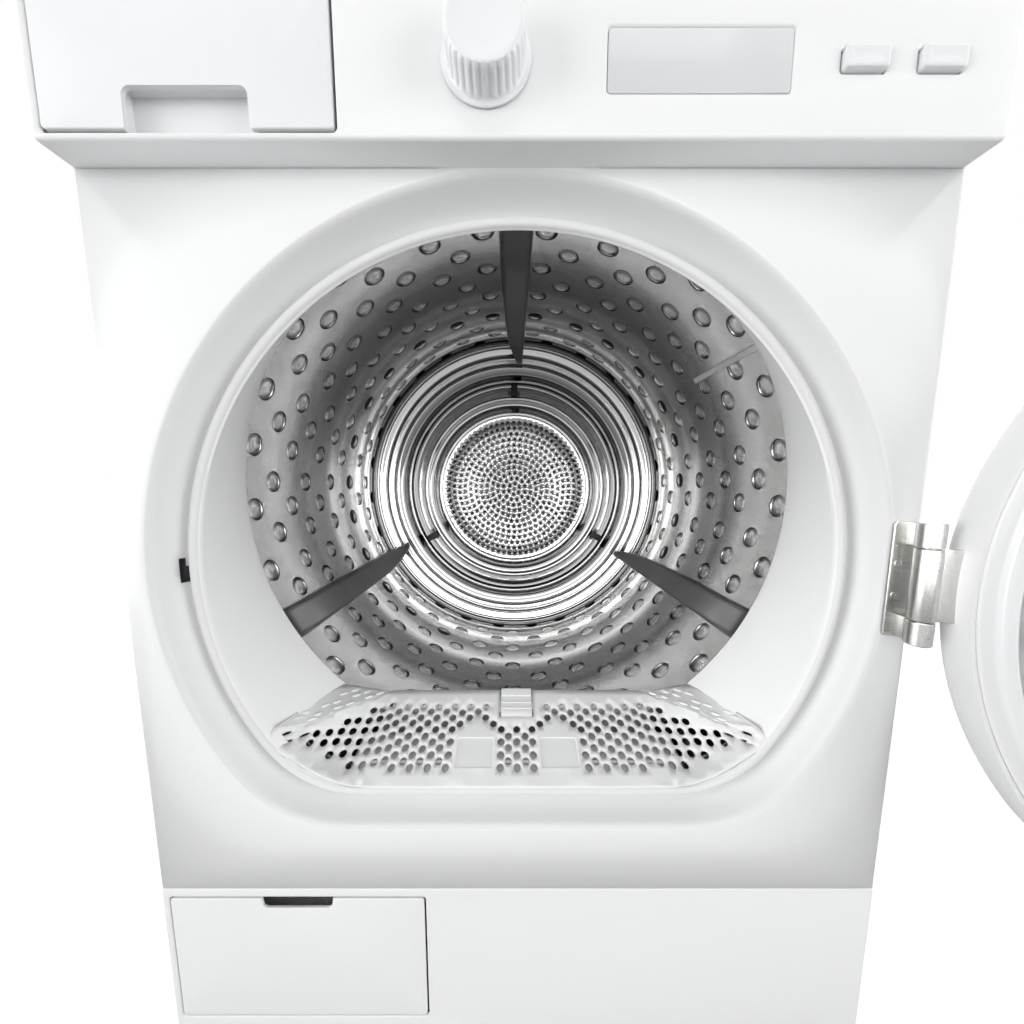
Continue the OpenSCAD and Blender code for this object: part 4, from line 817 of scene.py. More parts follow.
class DRYER_OT_filter(Part):
    """Makes the lint filter's cover with its holes, shelves, pads, latch and screen"""
    bl_idname = "dryer.filter"
    bl_label = "Lint filter"

    def execute(self, context):
        r = context.scene.dryer_sizes.hole_radius
        known = [on_plane(p) for p in [CORNER] + RIDGE + [END_Q, END_K] + FOOT + CREASE]
        known += [((x, y), 0.0) for x in (0, 45, 90, 125) for y in (-203, -225, -248, -268)]
        known += [((140, -240), 0.0), ((140, -258), 0.0), ((110, -280), 0.0), ((60, -282), 0.0),
                  ((0, -282), 0.0)]
        lift = Lift(known)
        right = [(17.3, -227.5), (17.3, -199.8), (70, -199.8), (128, -199.8)]
        right += [on_plane(p)[0] for p in [CORNER] + RIDGE + [END_Q, END_K] + FOOT]
        outline = (mirrored(right) + right)[::-1]
        holes = []
        for x, y in HOLES:
            holes += [(x, y, r, r * 0.97, 0.0), (-x, y, r, r * 0.97, 0.0)]
        holes += [(0, y, r, r, 0.0) for y in (-239, -250, -261, -271)]
        for x, y in ((204, -244), (222, -243), (217, -250)):
            holes += [(x, y, 4.6, 1.4, -0.42), (-x, y, 4.6, 1.4, 0.42)]
        pads = [rounded_rect(s * 39.05 - 17.35, -271.4, s * 39.05 + 17.35, -246.2, 2.0, 3) for s in (-1, 1)]
        extra = [on_plane(p)[0] for p in CREASE]
        extra += mirrored(extra)
        extra += [(x, y) for x in range(-224, 225, 7) for y in range(-284, -202, 6)
                  if inside((x, y), outline) and min(math.hypot(x - h[0], y - h[1]) for h in holes) > r + 2]
        flat, faces = dots([outline] + pads, holes, 18, extra)
        parts = [(lift.place(flat), faces)]
        for pad in pads:
            cx, cy = sum(p[0] for p in pad) / len(pad), -258.8
            floor = lift.place([((x - cx) * 0.965 + cx, (y - cy) * 0.96 + cy) for x, y in pad], 0.9)
            parts.append(loft([lift.place(pad), floor]))
            parts.append((floor, [tuple(range(len(pad)))]))
        made = piece("filter_cover_shell", *join(*parts), "filter", "lint_filter", "white_gloss",
                     ["filter_cover"], 32.0)
        face_towards(made, 2, 1)
        solid(made, 2.0)
        self.shelves()
        self.latch()
        self.screen(lift)
        return {"FINISHED"}

    def shelves(self):
        """Sloping shelves between the ridge and the funnel, with rows of small bumps."""
        n = 14
        for s in (-1, 1):
            known = [on_plane(p) for p in [CORNER] + SHELF + [END_Q] + RIDGE[::-1]]
            slope = Lift(known)
            outline = [k[0] for k in known]
            bumps = []
            for i in range(8):
                for j in range(6):
                    x = 139 + 10.4 * i + 7.0 * j
                    y = -204.0 - 5.9 * i + 0.9 * j + (2.0 if i % 2 else 0)
                    room = all(inside((x + dx, y + dy), outline)
                               for dx, dy in ((6.4, 0), (-6.4, 0), (0, 2.6), (0, -2.6)))
                    if room and all(abs(x - b[0]) > 9.4 or abs(y - b[1]) > 4.4 for b in bumps):
                        bumps.append((x, y, 4.6, 1.7, -0.35))
            extra = [(x, y) for x in range(136, 236, 5) for y in range(-236, -198, 3)
                     if inside((x, y), outline)]
            flat, faces = dots([outline], bumps, n, extra)
            parts = [(slope.place(flat), faces)]
            for x, y, rx, ry, turn in bumps:
                rings = []
                c, sn = math.cos(turn), math.sin(turn)
                for k, up in ((1.0, 0.0), (0.86, 0.75), (0.6, 1.25), (0.3, 1.5)):
                    ring = [(x + k * (rx * math.cos(a) * c - ry * math.sin(a) * sn),
                             y + k * (rx * math.cos(a) * sn + ry * math.sin(a) * c))
                            for a in (2 * math.pi * q / n for q in range(n))]
                    rings.append(slope.place(ring, -up))
                dome = loft(rings)
                dome[1].append(tuple(range(3 * n, 4 * n)))
                parts.append(dome)
            verts, faces = join(*parts)
            verts = [(s * p[0], p[1], p[2]) for p in verts]
            made = piece("filter_shelf_" + ("right" if s > 0 else "left"), verts, faces, "shelf",
                         "lint_filter", "white_gloss", (), 50.0)
            face_towards(made, 2, 1)
            solid(made, 1.6)

    def latch(self):
        """Tab with a hooked top edge and two relief lines."""
        profile = [(-227.2, 0.0), (-222, 0.1), (-219.6, 0.15), (-219.2, 0.6), (-218.2, 0.6), (-217.8, 0.2),
                   (-213.6, 0.25), (-213.2, 0.75), (-212.2, 0.75), (-211.8, 0.3), (-206.5, 0.4), (-206.1, 1.5),
                   (-203, 1.9), (-199.6, 2.2), (-199.0, 1.6), (-199.0, -0.4)]
        half = 15.9
        xs = [-half, -half + 0.5] + list(np.linspace(-half + 1.5, half - 1.5, 8)) + [half - 0.5, half]
        rows = []
        for y, up in profile:
            z = plane_z(y)
            rows.append([(x, y - up * ACROSS_Y, z + up * ACROSS_Z - (0.35 if abs(x) >= half else 0))
                         for x in xs])
        verts = [p for row in rows for p in row]
        made = piece("latch_tab", verts, grid_faces(len(rows), len(xs)), "filter", "latch", "white_gloss",
                     ["filter_latch"], 40.0)
        face_towards(made, 2, 1)
        solid(made, 1.6)

    def screen(self, lift):
        """Pale woven screen under the lower part of the cover."""
        xs = np.linspace(-150, 150, 61)
        ys = np.linspace(-279, -236, 12)
        pts = [(x, y) for y in ys for x in xs]
        verts = []
        for p, q in zip(pts, lift.place(pts, 3.0)):
            down = 1.5 + max(0.0, p[1] + 262) * 0.16
            verts.append((q[0], q[1] + 0.2 * down, q[2] - down))
        made = piece("lint_screen", verts, grid_faces(len(ys), len(xs)), "screen", "lint_filter",
                     "pale_plastic", (), 60.0)
        face_towards(made, 2, 1)
        solid(made, 0.4)


# ------------------------------------------------- drum
def round_drum(u, y, out=0.0):
    """Point on the drum's wall from the length u round it, moved outwards by some mm."""
    a = u / WALL_R
    return ((WALL_R + out) * math.sin(a), y, AXIS_Z + (WALL_R + out) * math.cos(a))


def about_axis(p, a):
    """Turns a point drawn upright on the drum's axis by an angle round it."""
    x, y, z = p
    return (x * math.cos(a) + z * math.sin(a), y, AXIS_Z - x * math.sin(a) + z * math.cos(a))


def outwards(a):
    """Direction out of the drum at an angle from its top."""
    return Vector((math.sin(a), 0, math.cos(a)))


def dent_places(pitch):
    """(angle in degrees, y) of the dents in the drum's wall: two kinds of rows, clear of the lifters."""
    out = []
    for row in range(11):
        y = -171 + pitch * row
        step = (0, 13.97, 27.94) if row % 2 == 0 else (0, 13.97, 25.98)
        for k in range(9):
            for s in step:
                a = ((12.66 if row % 2 == 0 else 6.70) + 40 * k + s) % 360
                if min(abs((a - b + 180) % 360 - 180) for b in (0, 120, 240)) > 6.2:
                    out.append((a, y))
    return out


WALL_SHEET = 0.9  # thickness of the drum's wall


class DRYER_OT_drum(Part):
    """Makes the drum's wall with its dents pressed outwards"""
    bl_idname = "dryer.drum"
    bl_label = "Drum wall"

    def execute(self, context):
        sizes = context.scene.dryer_sizes
        radius, deep = sizes.dent_radius, sizes.dent_depth
        y0, y1 = DRUM[0].y, DRUM[1].y
        n = 24
        around = 2 * math.pi * WALL_R
        dents = [(math.radians(a) * WALL_R, y) for a, y in dent_places(sizes.dent_pitch)]
        # Rings of a dent: share of its radius, share of its depth, slope there
        profile = [(1.0, 0.0, 1.3), (0.92, 0.40, 1.1), (0.86, 0.6, 0.5), (0.7, 0.78, 0.26),
                   (0.45, 0.92, 0.15), (0.2, 0.99, 0.06)]
        pts, edges = [], []

        def add(loop_):
            """Adds a closed line that the triangles have to keep."""
            first = len(pts)
            pts.extend(Vector(p) for p in loop_)
            edges.extend((first + k, first + (k + 1) % len(loop_)) for k in range(len(loop_)))

        us = np.linspace(0, around, 145)
        ys = np.linspace(y0, y1, 32)
        add([(u, y0) for u in us] + [(around, y) for y in ys[1:-1]] + [(u, y1) for u in us[::-1]]
            + [(0, y) for y in ys[-2:0:-1]])
        for cu, cy in dents:
            add([(cu + radius * math.cos(2 * math.pi * k / n), cy + radius * math.sin(2 * math.pi * k / n))
                 for k in range(n)])
        centre = np.array(dents)
        for u in us[1:-1]:
            for y in ys[1:-1]:
                if np.min(np.hypot(centre[:, 0] - u, centre[:, 1] - y)) > radius + 3:
                    pts.append(Vector((u, y)))
        out = geometry.delaunay_2d_cdt(pts, edges, [], 0, 1e-5)
        flat = np.array([tuple(v) for v in out[0]])
        index = {}  # points of the wall's two ends meet in one
        verts, where = [], []
        for u, y in flat:
            key = (round(u % around, 2) if u < around - 0.01 else 0.0, round(y, 2))
            if key not in index:
                index[key] = len(verts)
                verts.append(round_drum(u, y))
            where.append(index[key])
        faces, loops, shaded_creases, bowls = [], [], [], []

        def wall_normal(p):
            return -Vector((p[0], 0, p[2] - AXIS_Z)).normalized()

        for f in out[2]:
            c = flat[list(f)].mean(axis=0)
            if np.min(np.hypot(centre[:, 0] - c[0], centre[:, 1] - c[1])) < radius * 0.985:
                continue
            face = [where[i] for i in f]
            faces.append(face)
            loops += [wall_normal(verts[i]) for i in face]
        for cu, cy in dents:
            first = len(verts)
            slopes = []
            for kr, kd, slope in profile:
                for q in range(n):
                    a = 2 * math.pi * q / n
                    u, y = cu + kr * radius * math.cos(a), cy + kr * radius * math.sin(a)
                    verts.append(round_drum(u, y, deep * kd))
                    # The wall falls outwards towards the dent's middle
                    across = Vector((math.cos(u / WALL_R), 0, -math.sin(u / WALL_R)))
                    inwards = -(across * math.cos(a) + Vector((0, 1, 0)) * math.sin(a))
                    slopes.append((inwards * slope - outwards(u / WALL_R)).normalized())
            verts.append(round_drum(cu, cy, deep))
            slopes.append(-outwards(cu / WALL_R))
            for k in range(len(profile) - 1):
                for q in range(n):
                    a, b = first + k * n + q, first + k * n + (q + 1) % n
                    face = [a, b, b + n, a + n]
                    (bowls if k else shaded_creases).append(len(faces))
                    faces.append(face)
                    loops += [slopes[i - first] for i in face]
            last, tip = first + (len(profile) - 1) * n, first + len(profile) * n
            for q in range(n):
                face = [last + q, last + (q + 1) % n, tip]
                bowls.append(len(faces))
                faces.append(face)
                loops += [slopes[i - first] for i in face]
        # All faces look inwards
        fixed, normals = [], []
        at = 0
        for face in faces:
            ns = loops[at:at + len(face)]
            at += len(face)
            p = [Vector(verts[i]) for i in face]
            if (p[1] - p[0]).cross(p[2] - p[0]).dot(ns[0]) < 0:
                face, ns = face[::-1], ns[::-1]
            fixed.append(tuple(face))
            normals += ns
        # Outer side
        m = len(verts)
        for p in list(verts):
            v = Vector((p[0], 0, p[2] - AXIS_Z))
            v = v * ((v.length + WALL_SHEET) / v.length)
            verts.append((v.x, p[1], v.z + AXIS_Z))
        count = len(fixed)
        at = 0
        for face in fixed[:count]:
            ns = normals[at:at + len(face)]
            at += len(face)
            fixed.append(tuple(i + m for i in reversed(face)))
            normals += [-v for v in reversed(ns)]
        # Bands that close the sheet at the front and the back
        rim = dict.fromkeys(e for face in fixed[:count] for e in zip(face, face[1:] + face[:1]))
        for a, b in [e for e in rim if (e[1], e[0]) not in rim]:
            at_front, at_back = (abs(verts[a][1] - y) <= 0.01 for y in (y0, y1))
            if at_front or at_back:
                fixed.append((b, a, a + m, b + m))
                normals += [Vector((0, -1.0 if at_front else 1.0, 0))] * 4
        made = piece("drum_wall", verts, fixed, "drum", "drum", "stainless", ["drum_shell"], 0, False)
        # The dents' rims get the near-black crease steel (painted shade), their bowls the dent steel with its
        # painted bands
        for slot, (finish, chosen) in enumerate((("crease", shaded_creases), ("dent", bowls)), 1):
            made.data.materials.append(MATS[finish])
            for k in chosen:
                made.data.polygons[k].material_index = slot
        made.data.shade_smooth()
        made.data.normals_split_custom_set([tuple(v) for v in normals])
        self.seam(math.radians(sizes.seam_angle))
        return {"FINISHED"}

    def seam(self, angle):
        """Weld bead along the wall, a little proud of it."""
        rings = []
        for k in range(49):
            y = mixed(DRUM[0].y + 1.5, DRUM[1].y - 230, k / 48)
            wave = 0.25 * math.sin(k * 1.9) + 0.15 * math.sin(k * 5.3)
            rings.append([round_drum(angle * WALL_R + u * (1 + 0.04 * wave), y, out)
                          for u, out in ((-4.2, 0.3), (-4.0, -0.05), (-2.4, -0.22), (-0.8, -0.30),
                                         (0.8, -0.30), (2.4, -0.22), (4.0, -0.05), (4.2, 0.3))])
        piece("weld_seam", *loft(rings, closed_ends=True), "seam", "drum", "stainless", (), 60.0)


# Profiles of the stamped back and of the hub cover, as (radius, y)
BACK_RINGS = [
    (286.95, 160), (286.3, 165), (284.8, 170), (282.6, 174), (280.0, 176.4), (278.2, 176.3),
    (276.6, 174.4), (275, 173.4), (273, 173.9), (269.5, 175.8), (266, 177.1), (263, 177.6), (260.6, 176.9),
    (258.8, 174.6), (257, 173.2), (255, 173.8), (253, 175.9), (251.4, 177.1), (250.2, 176.6),
    (249.6, 174.8), (248.4, 173.5), (246.8, 173.9), (245.2, 175.7), (243.6, 176.9), (242.2, 176.2),
    (241.2, 174.2), (239.8, 173.2), (237.4, 173.7), (233, 175.8), (229, 177.2), (224.6, 177.9), (220, 177),
    (216.8, 174.6), (214.4, 173.0), (212, 173.1), (210.2, 174.8), (209.4, 177.0), (208.6, 178.9),
    (206.4, 180.2), (202, 180.9), (196, 181.2), (190, 180.6), (186.5, 180.2), (184.6, 181.9), (190, 182.4),
    (200, 182.6), (209, 182.2), (211.5, 178.6), (225, 179.3), (250, 178.9), (280, 178.7), (286, 178),
    (287.9, 175), (287.9, 170)]
HUB_RINGS = [
    (184, 181.4), (184, 177), (183.3, 174.6), (181.8, 173.2), (180, 172.8), (178, 173.4), (175.4, 175.6),
    (172, 177.2), (167, 178), (162, 177.6), (157, 176), (153.6, 173.8), (151.4, 172.8), (149.4, 172.9),
    (147.6, 174), (146.6, 175.8), (146.2, 177)]
DISH = 2.2  # how far the grille bulges to the front
GRILLE_PITCH = 11.2  # distance between two rings of its holes


class DRYER_OT_back(Part):
    """Makes the drum's stamped back, the hub cover with its grille and the spokes"""
    bl_idname = "dryer.back"
    bl_label = "Drum back"

    def execute(self, context):
        sizes = context.scene.dryer_sizes
        piece("drum_back_rings", *turned(smooth_profile(BACK_RINGS)), "back", "drum", "stainless",
              ["drum_back"], 60.0)
        for k in range(3):
            a = math.radians(120 * k)
            bar, faces = rounded_box((-6.5, 176.6, 185.5), (6.5, 181.6, 209.5), 1.5)
            verts = [about_axis(p, a) for p in bar]
            piece("spoke_cap_%d" % (k + 1), verts, faces, "spider", "drum", "black_paint", (), 40.0)
        ring = turned(smooth_profile(HUB_RINGS), loop=False)
        r0, y0 = HUB_RINGS[-1]
        holes = [(0, 0, sizes.grille_hole, sizes.grille_hole, 0.0)]
        for k in range(1, sizes.grille_rings):
            r = GRILLE_PITCH * k
            for q in range(6 * k):
                a = 2 * math.pi * q / (6 * k) + 0.13 * k
                holes.append((r * math.sin(a), r * math.cos(a), sizes.grille_hole, sizes.grille_hole, 0.0))
        rim = [(r0 * math.sin(2 * math.pi * k / 256), r0 * math.cos(2 * math.pi * k / 256))
               for k in range(256)]
        flat, faces = dots([rim], holes, 12)
        grille = [(x, y0 - DISH * (1 - (x * x + z * z) / r0 ** 2), z + AXIS_Z) for x, z in flat]
        made = piece("hub_cover_grille", *join(ring, (grille, faces)), "hub", "drum", "stainless",
                     ["hub_cover"], 55.0)
        face_towards(made, 1, -1)
        solid(made, 1.0)
        return {"FINISHED"}


def smooth_profile(points, steps=3):
    """Catmull-Rom curve through a profile."""
    out = []
    for k in range(len(points) - 1):
        p0, p1 = points[max(0, k - 1)], points[k]
        p2, p3 = points[k + 1], points[min(len(points) - 1, k + 2)]
        for i in range(steps):
            t = i / steps
            out.append(tuple(0.5 * (2 * b + (c - a) * t + (2 * a - 5 * b + 4 * c - d) * t * t
                                    + (3 * b - a - 3 * c + d) * t ** 3) for a, b, c, d in zip(p0, p1, p2, p3)))
    out.append(tuple(points[-1]))
    return out


class DRYER_OT_lifters(Part):
    """Makes the three lifters, bent towards one side at the drum's back"""
    bl_idname = "dryer.lifters"
    bl_label = "Lifters"

    def execute(self, context):
        high = context.scene.dryer_sizes.lifter_height
        # Share of the height at places along the drum
        marks = [(-191, 0.10), (-188, 0.28), (-182, 0.50), (-172, 0.68), (-158, 0.84), (-142, 0.95),
                 (-128, 1.0), (-60, 1.0), (0, 1.0), (40, 1.0), (75, 1.0), (105, 1.0), (130, 1.0),
                 (148, 0.99), (158, 0.96), (164, 0.9), (167, 0.8)]
        for k in range(3):
            rings = []
            for y, part in marks:
                bend = max(0.0, (y + 40) / 207.0) ** 2.1
                h = high * part
                bl, br = -19 + 24 * bend, 19.0
                cl, cr = -14.5 + 21.5 * bend, 14.8 + 1.0 * bend
                rc = min(4.5, h * 0.45, (cr - cl) * 0.45)
                pts = [(bl, -0.6), (mixed(bl, cl, 0.18), h * 0.1), (mixed(bl, cl, 0.55), h * 0.45),
                       (mixed(bl, cl, 0.85), h * 0.8)]
                pts += [(cl + rc - rc * math.cos(a), h - rc + rc * math.sin(a))
                        for a in np.linspace(0.15, math.pi / 2, 5)]
                pts += [(cr - rc + rc * math.sin(a), h - rc + rc * math.cos(a))
                        for a in np.linspace(0, math.pi / 2 - 0.15, 5)]
                pts += [(mixed(br, cr, 0.85), h * 0.8), (mixed(br, cr, 0.55), h * 0.45),
                        (mixed(br, cr, 0.18), h * 0.1), (br, -0.6)]
                ring = []
                for x, up in pts:
                    # The top is straight across the lifter, the foot follows the drum
                    sag = (WALL_R - math.sqrt(WALL_R ** 2 - x ** 2)) * (1 - up / high)
                    ring.append(about_axis((x, y, WALL_R - up - sag), math.radians(120 * k)))
                rings.append(ring)
            piece("lifter_%d" % (k + 1), *loft(rings, closed_ends=True), "lifter", "drum", "dark_plastic",
                  ["drum_lifters"], 38.0)
        return {"FINISHED"}


# ------------------------------------------------- door
DOOR_OPEN = 165.0  # angle of the door at rest, in degrees


def swing(made):
    """Turns (verts, faces) drawn for the closed door into the frame's pose."""
    t = math.radians(DOOR_OPEN)
    hx, hy = HINGE[0] / M, HINGE[1] / M
    out = []
    for x, y, z in made[0]:
        dx, dy = x - hx, y - hy
        out.append((hx + dx * math.cos(t) - dy * math.sin(t), hy + dx * math.sin(t) + dy * math.cos(t), z))
    return out, made[1]


def door_ring(r, flat, corner, y, n=256):
    """Ring of the door's outline: a circle cut by a flat with round corners."""
    return at_depth(d_outline(r, flat, corner, n, OPEN_Z), y)


def round_ring(r, y, n=256):
    """Ring about the door's middle."""
    return at_depth(circle(0.0, OPEN_Z, r, n), y)


def between(a, b, t, y):
    """Ring between two rings, at y."""
    return [(mixed(p[0], q[0], t), y, mixed(p[2], q[2], t)) for p, q in zip(a, b)]


def lens(ring, y0, y1, crown=0.0):
    """Closed pane inside a ring, crowned on its first face."""
    c = (sum(p[0] for p in ring) / len(ring), sum(p[2] for p in ring) / len(ring))
    rings = []
    for k, y in ([(s, y0 + crown * s * s) for s in (0.02, 0.2, 0.4, 0.6, 0.8, 0.92, 0.985)]
                 + [(0.997, y0 + crown + 0.4), (1.0, y0 + crown + 1.0), (1.0, y1 - 0.8), (0.997, y1)]
                 + [(s, y1) for s in (0.9, 0.6, 0.3, 0.02)]):
        rings.append([(c[0] + (p[0] - c[0]) * k, y, c[1] + (p[2] - c[1]) * k) for p in ring])
    return loft(rings, closed_ends=True)


def slab_mesh(outer, holes, y0, y1, edge=0.8, back=0.3):
    """Closed plate with rounded front edges; outer and holes return outlines grown by some mm."""
    d = 1 if y1 > y0 else -1
    parts = []
    for y, e in ((y0, edge), (y1, back)):
        flat, faces = dots([outer(-e)] + [h(e) for h in holes], [], 8)
        parts.append(([(x, y, z) for x, z in flat], faces))
    for fn, s in [(outer, -1)] + [(h, 1) for h in holes]:
        rings = [at_depth(fn(s * edge * (1 - math.sin(t))), y0 + d * edge * (1 - math.cos(t)))
                 for t in np.linspace(0, math.pi / 2, 5)]
        rings += [at_depth(fn(0), y1 - d * back), at_depth(fn(s * back), y1)]
        parts.append(loft(rings))
    return join(*parts)


def panel(x0, z0, x1, z1, r=3.0):
    """Outline maker of a rectangle with round corners."""
    return lambda g: rounded_rect(x0 - g, z0 - g, x1 + g, z1 + g, max(0.3, r + g))


def disc(x, z, r, n):
    """Outline maker of a circle."""
    return lambda g: circle(x, z, r + g, n)


def spun(profile, x, y, n, loop=False):
    """Turns a profile of (radius, z) about an upright axis; its ends are closed unless it loops."""
    rings = [[(px, py, z) for px, py in circle(x, y, r, n)] for r, z in profile]
    return loft(rings, closed_ends=not loop, loop=loop)


def countersunk(x, y, z, r=3.6, deep=1.2, facing=-1):
    """Screw head with a cross recess, flush in a plate that faces along Y."""
    n = 32
    rings = [at_depth(circle(x, z, rad, n), y - facing * d)
             for rad, d in ((r, 1.0), (r, 0.0), (r * 0.97, -0.25), (r * 0.8, -0.45), (r * 0.62, -0.5))]
    for part, d in ((0.5, -0.5), (0.42, 0.5), (0.1, deep)):
        ring = []
        for q in range(n):
            a = 2 * math.pi * q / n
            arm = max(abs(math.cos(a)), abs(math.sin(a)))
            rad = r * part * (0.45 + 0.75 * max(0.0, (arm - 0.86) / 0.14))
            ring.append((x + rad * math.cos(a), y - facing * d, z + rad * math.sin(a)))
        rings.append(ring)
    return loft(rings, closed_ends=True)


class DRYER_OT_door(Part):
    """Makes the door: frame, plug, two panes, seal, hook and hinge"""
    bl_idname = "dryer.door"
    bl_label = "Door"

    def execute(self, context):
        y0, y1 = FRONT - 30, FRONT - 1  # the closed door's face and back
        window = 190.0  # radius of the window

        def out(g, y):
            return door_ring(272 + g, 202 + g, 98 + g, y)

        face_d, face_c = out(-10, 0), round_ring(window + 16, 0)
        rings = [out(-0.2, y1 - 0.3), out(0, y1 - 1.2), out(0, y0 + 9), out(-0.6, y0 + 5.4),
                 out(-2.2, y0 + 2.6), out(-5, y0 + 0.8), out(-10, y0)]
        rings += [between(face_d, face_c, t, y0) for t in (0.33, 0.66)]
        rings += [round_ring(window + g, y0 + d) for g, d in (
            (16, 0), (13, 0.2), (11.4, 1.4), (10, 1.9), (8.6, 1.4), (7, 0.5), (4, 0.3), (2, 0.7), (0.6, 1.8),
            (0.1, 3.4), (0.1, 22.5), (1, 23), (2.8, 23), (3, 22), (3, 4))]
        rings += [between(face_d, face_c, t, y0 + 3.2) for t in (0.66, 0.33)]
        rings += [out(-4, y0 + 4.4), out(-3, y0 + 9), out(-3, y1 - 1), out(-2.6, y1 - 0.3)]
        piece("door_shell", *swing(loft(rings, loop=True)), "casing", "door", "white_plastic",
              ["door_frame"], 38.0)

        def seat(g, y):
            return door_ring(257 + g, 189 + g, 89 + g, y)

        def plug(g, y):
            return door_ring(225 + g, 134.5 + g, 60 + g, y)

        lip = node_box("door_opening_shield")[0].y
        rings = [outline(g, y1 + d) for outline, marks in (
            (out, ((-3.4, -2.8), (-3.2, -1), (-4, -0.2), (-5.5, 0))),
            (seat, ((4, 0), (1.6, 0.5), (0.2, 2), (0, 7.5), (-1, 9.2), (-2.4, 9.5), (-11, 9.5))),
            (plug, ((4, 9.5), (1.6, 10), (0.2, 11.6), (0, 14), (-0.5, 34), (-1, 37.2), (-2, 38.7),
                    (-2.8, 38.9), (-3.2, 38.2), (-3.2, 2), (-5, 0.3)))) for g, d in marks]
        rings += [round_ring(window + g, y1 + d) for g, d in ((4, 0), (1, -0.1), (0, -1), (0, -2.8))]
        piece("door_liner", *swing(loft(rings, loop=True)), "inner_white", "door", "white_plastic",
              ["door_inner_frame"], 38.0)
        piece("door_glass_inner", *swing(lens(plug(-3.5, 0), y1 + 33.2, y1 + 36.8)), "clear", "door",
              "clear_glass", ["door_inner_glass"], 35.0)
        piece("door_glass_outer", *swing(lens(round_ring(window - 0.3, 0), y0 + 3.1, y0 + 6.9, 0.9)), "smoked",
              "door", "smoked_glass", ["door_window"], 35.0)
        rings = [seat(g, lip + d) for g, d in (
            (-1.2, -4.9), (-1.0, -3.6), (-1.4, -1.8), (-2.4, -0.7), (-3.4, -0.6), (-4.4, -1.6), (-5.5, -2.7),
            (-6.6, -1.6), (-7.6, -0.6), (-8.6, -0.7), (-9.6, -1.8), (-10, -3.6), (-9.8, -4.9))]
        piece("door_seal_ring", *swing(loft(rings, loop=True)), "seal", "door", "grey_rubber",
              ["door_seal"], 50.0)
        self.hook(y1)
        self.hinge()
        return {"FINISHED"}

    def hook(self, y1):
        """Flat hook with chamfered sides, in the middle of the catch."""
        x = node_box("door_catch")[0].x + 9.0
        side = [(-6, -0.2), (-6, 27), (-5, 29.4), (-3, 30.6), (3.4, 30.8), (5, 29.8), (5.8, 27.6), (5.8, 25.4),
                (1.5, 24.6), (0.6, 23.6), (2.4, 14), (6, 4), (6, -0.2)]
        long = 31.0 / 30.8
        rings = []
        for dx, k in ((-2, 0.96), (-1.6, 1.0), (1.6, 1.0), (2, 0.96)):
            rings.append([(x + dx, y1 + p * long * (k if p > 1 else 1), OPEN_Z + q * k) for q, p in side])
        piece("door_hook_blade", *swing(loft(rings, closed_ends=True)), "zinc", "door", "zinc_steel",
              ["door_hook"], 35.0)

    def hinge(self):
        """Leaf on the door with its knuckle, and the plate on the cabinet with its pin."""
        hx, hy = HINGE[0] / M, HINGE[1] / M
        plate = slab_mesh(panel(hx - 38, OPEN_Z - 26, hx - 4, OPEN_Z + 26, 4.0), [], hy + 3, hy - 3, 0.8, 0.6)
        neck = slab_mesh(panel(hx - 6, OPEN_Z - 25.6, hx + 1, OPEN_Z + 25.6, 0.5), [],
                         hy + 2.9, hy - 2.9, 0.4, 0.4)
        half = [(5.3, 25.2), (5.6, 25.9), (6.6, 26), (7.3, 25.6), (7.5, 25)]
        knuckle = spun([(r, OPEN_Z - d) for r, d in half] + [(r, OPEN_Z + d) for r, d in half[::-1]],
                       hx, hy, 48, loop=True)
        screws = [countersunk(hx - 26, hy + 3.1, OPEN_Z + z, facing=1) for z in (-15, 15)]
        piece("hinge_leaf", *swing(join(plate, neck, knuckle, *screws)), "zinc", "door", "zinc_steel",
              ["door_hinge_leaf"], 35.0)
        lo, hi = node_box("hinge_bracket")
        parts = [slab_mesh(panel(lo.x, lo.z, HALF, hi.z, 3.0), [], FRONT - 2, FRONT, 0.8, 0.1)]
        for s in (-1, 1):
            z0, z1 = OPEN_Z + s * 26.5, OPEN_Z + s * 44
            parts.append(spun([(7.0, z0 + s * 0.1), (7.5, z0 + s * 0.7), (7.5, z1 - s * 0.8), (6.8, z1)],
                              hx, hy, 48))
            parts.append(slab_mesh(panel(hx - 2, min(z0, z1) + 0.4, hx + 2, max(z0, z1) - 0.4, 0.4), [],
                                   hy + 1, FRONT - 1, 0.2, 0.1))
            parts.append(countersunk(hx + 5.6 - 11.5, FRONT - 2.1, OPEN_Z + s * 12, 2.8, 0.8))
        parts.append(spun([(3.4, OPEN_Z - 43.9), (4.2, OPEN_Z - 43.2), (4.2, OPEN_Z + 43.2),
                           (3.4, OPEN_Z + 43.9)], hx, hy, 32))
        piece("hinge_plate", *join(*parts), "zinc", "cabinet", "zinc_steel", ["hinge_bracket"], 35.0)


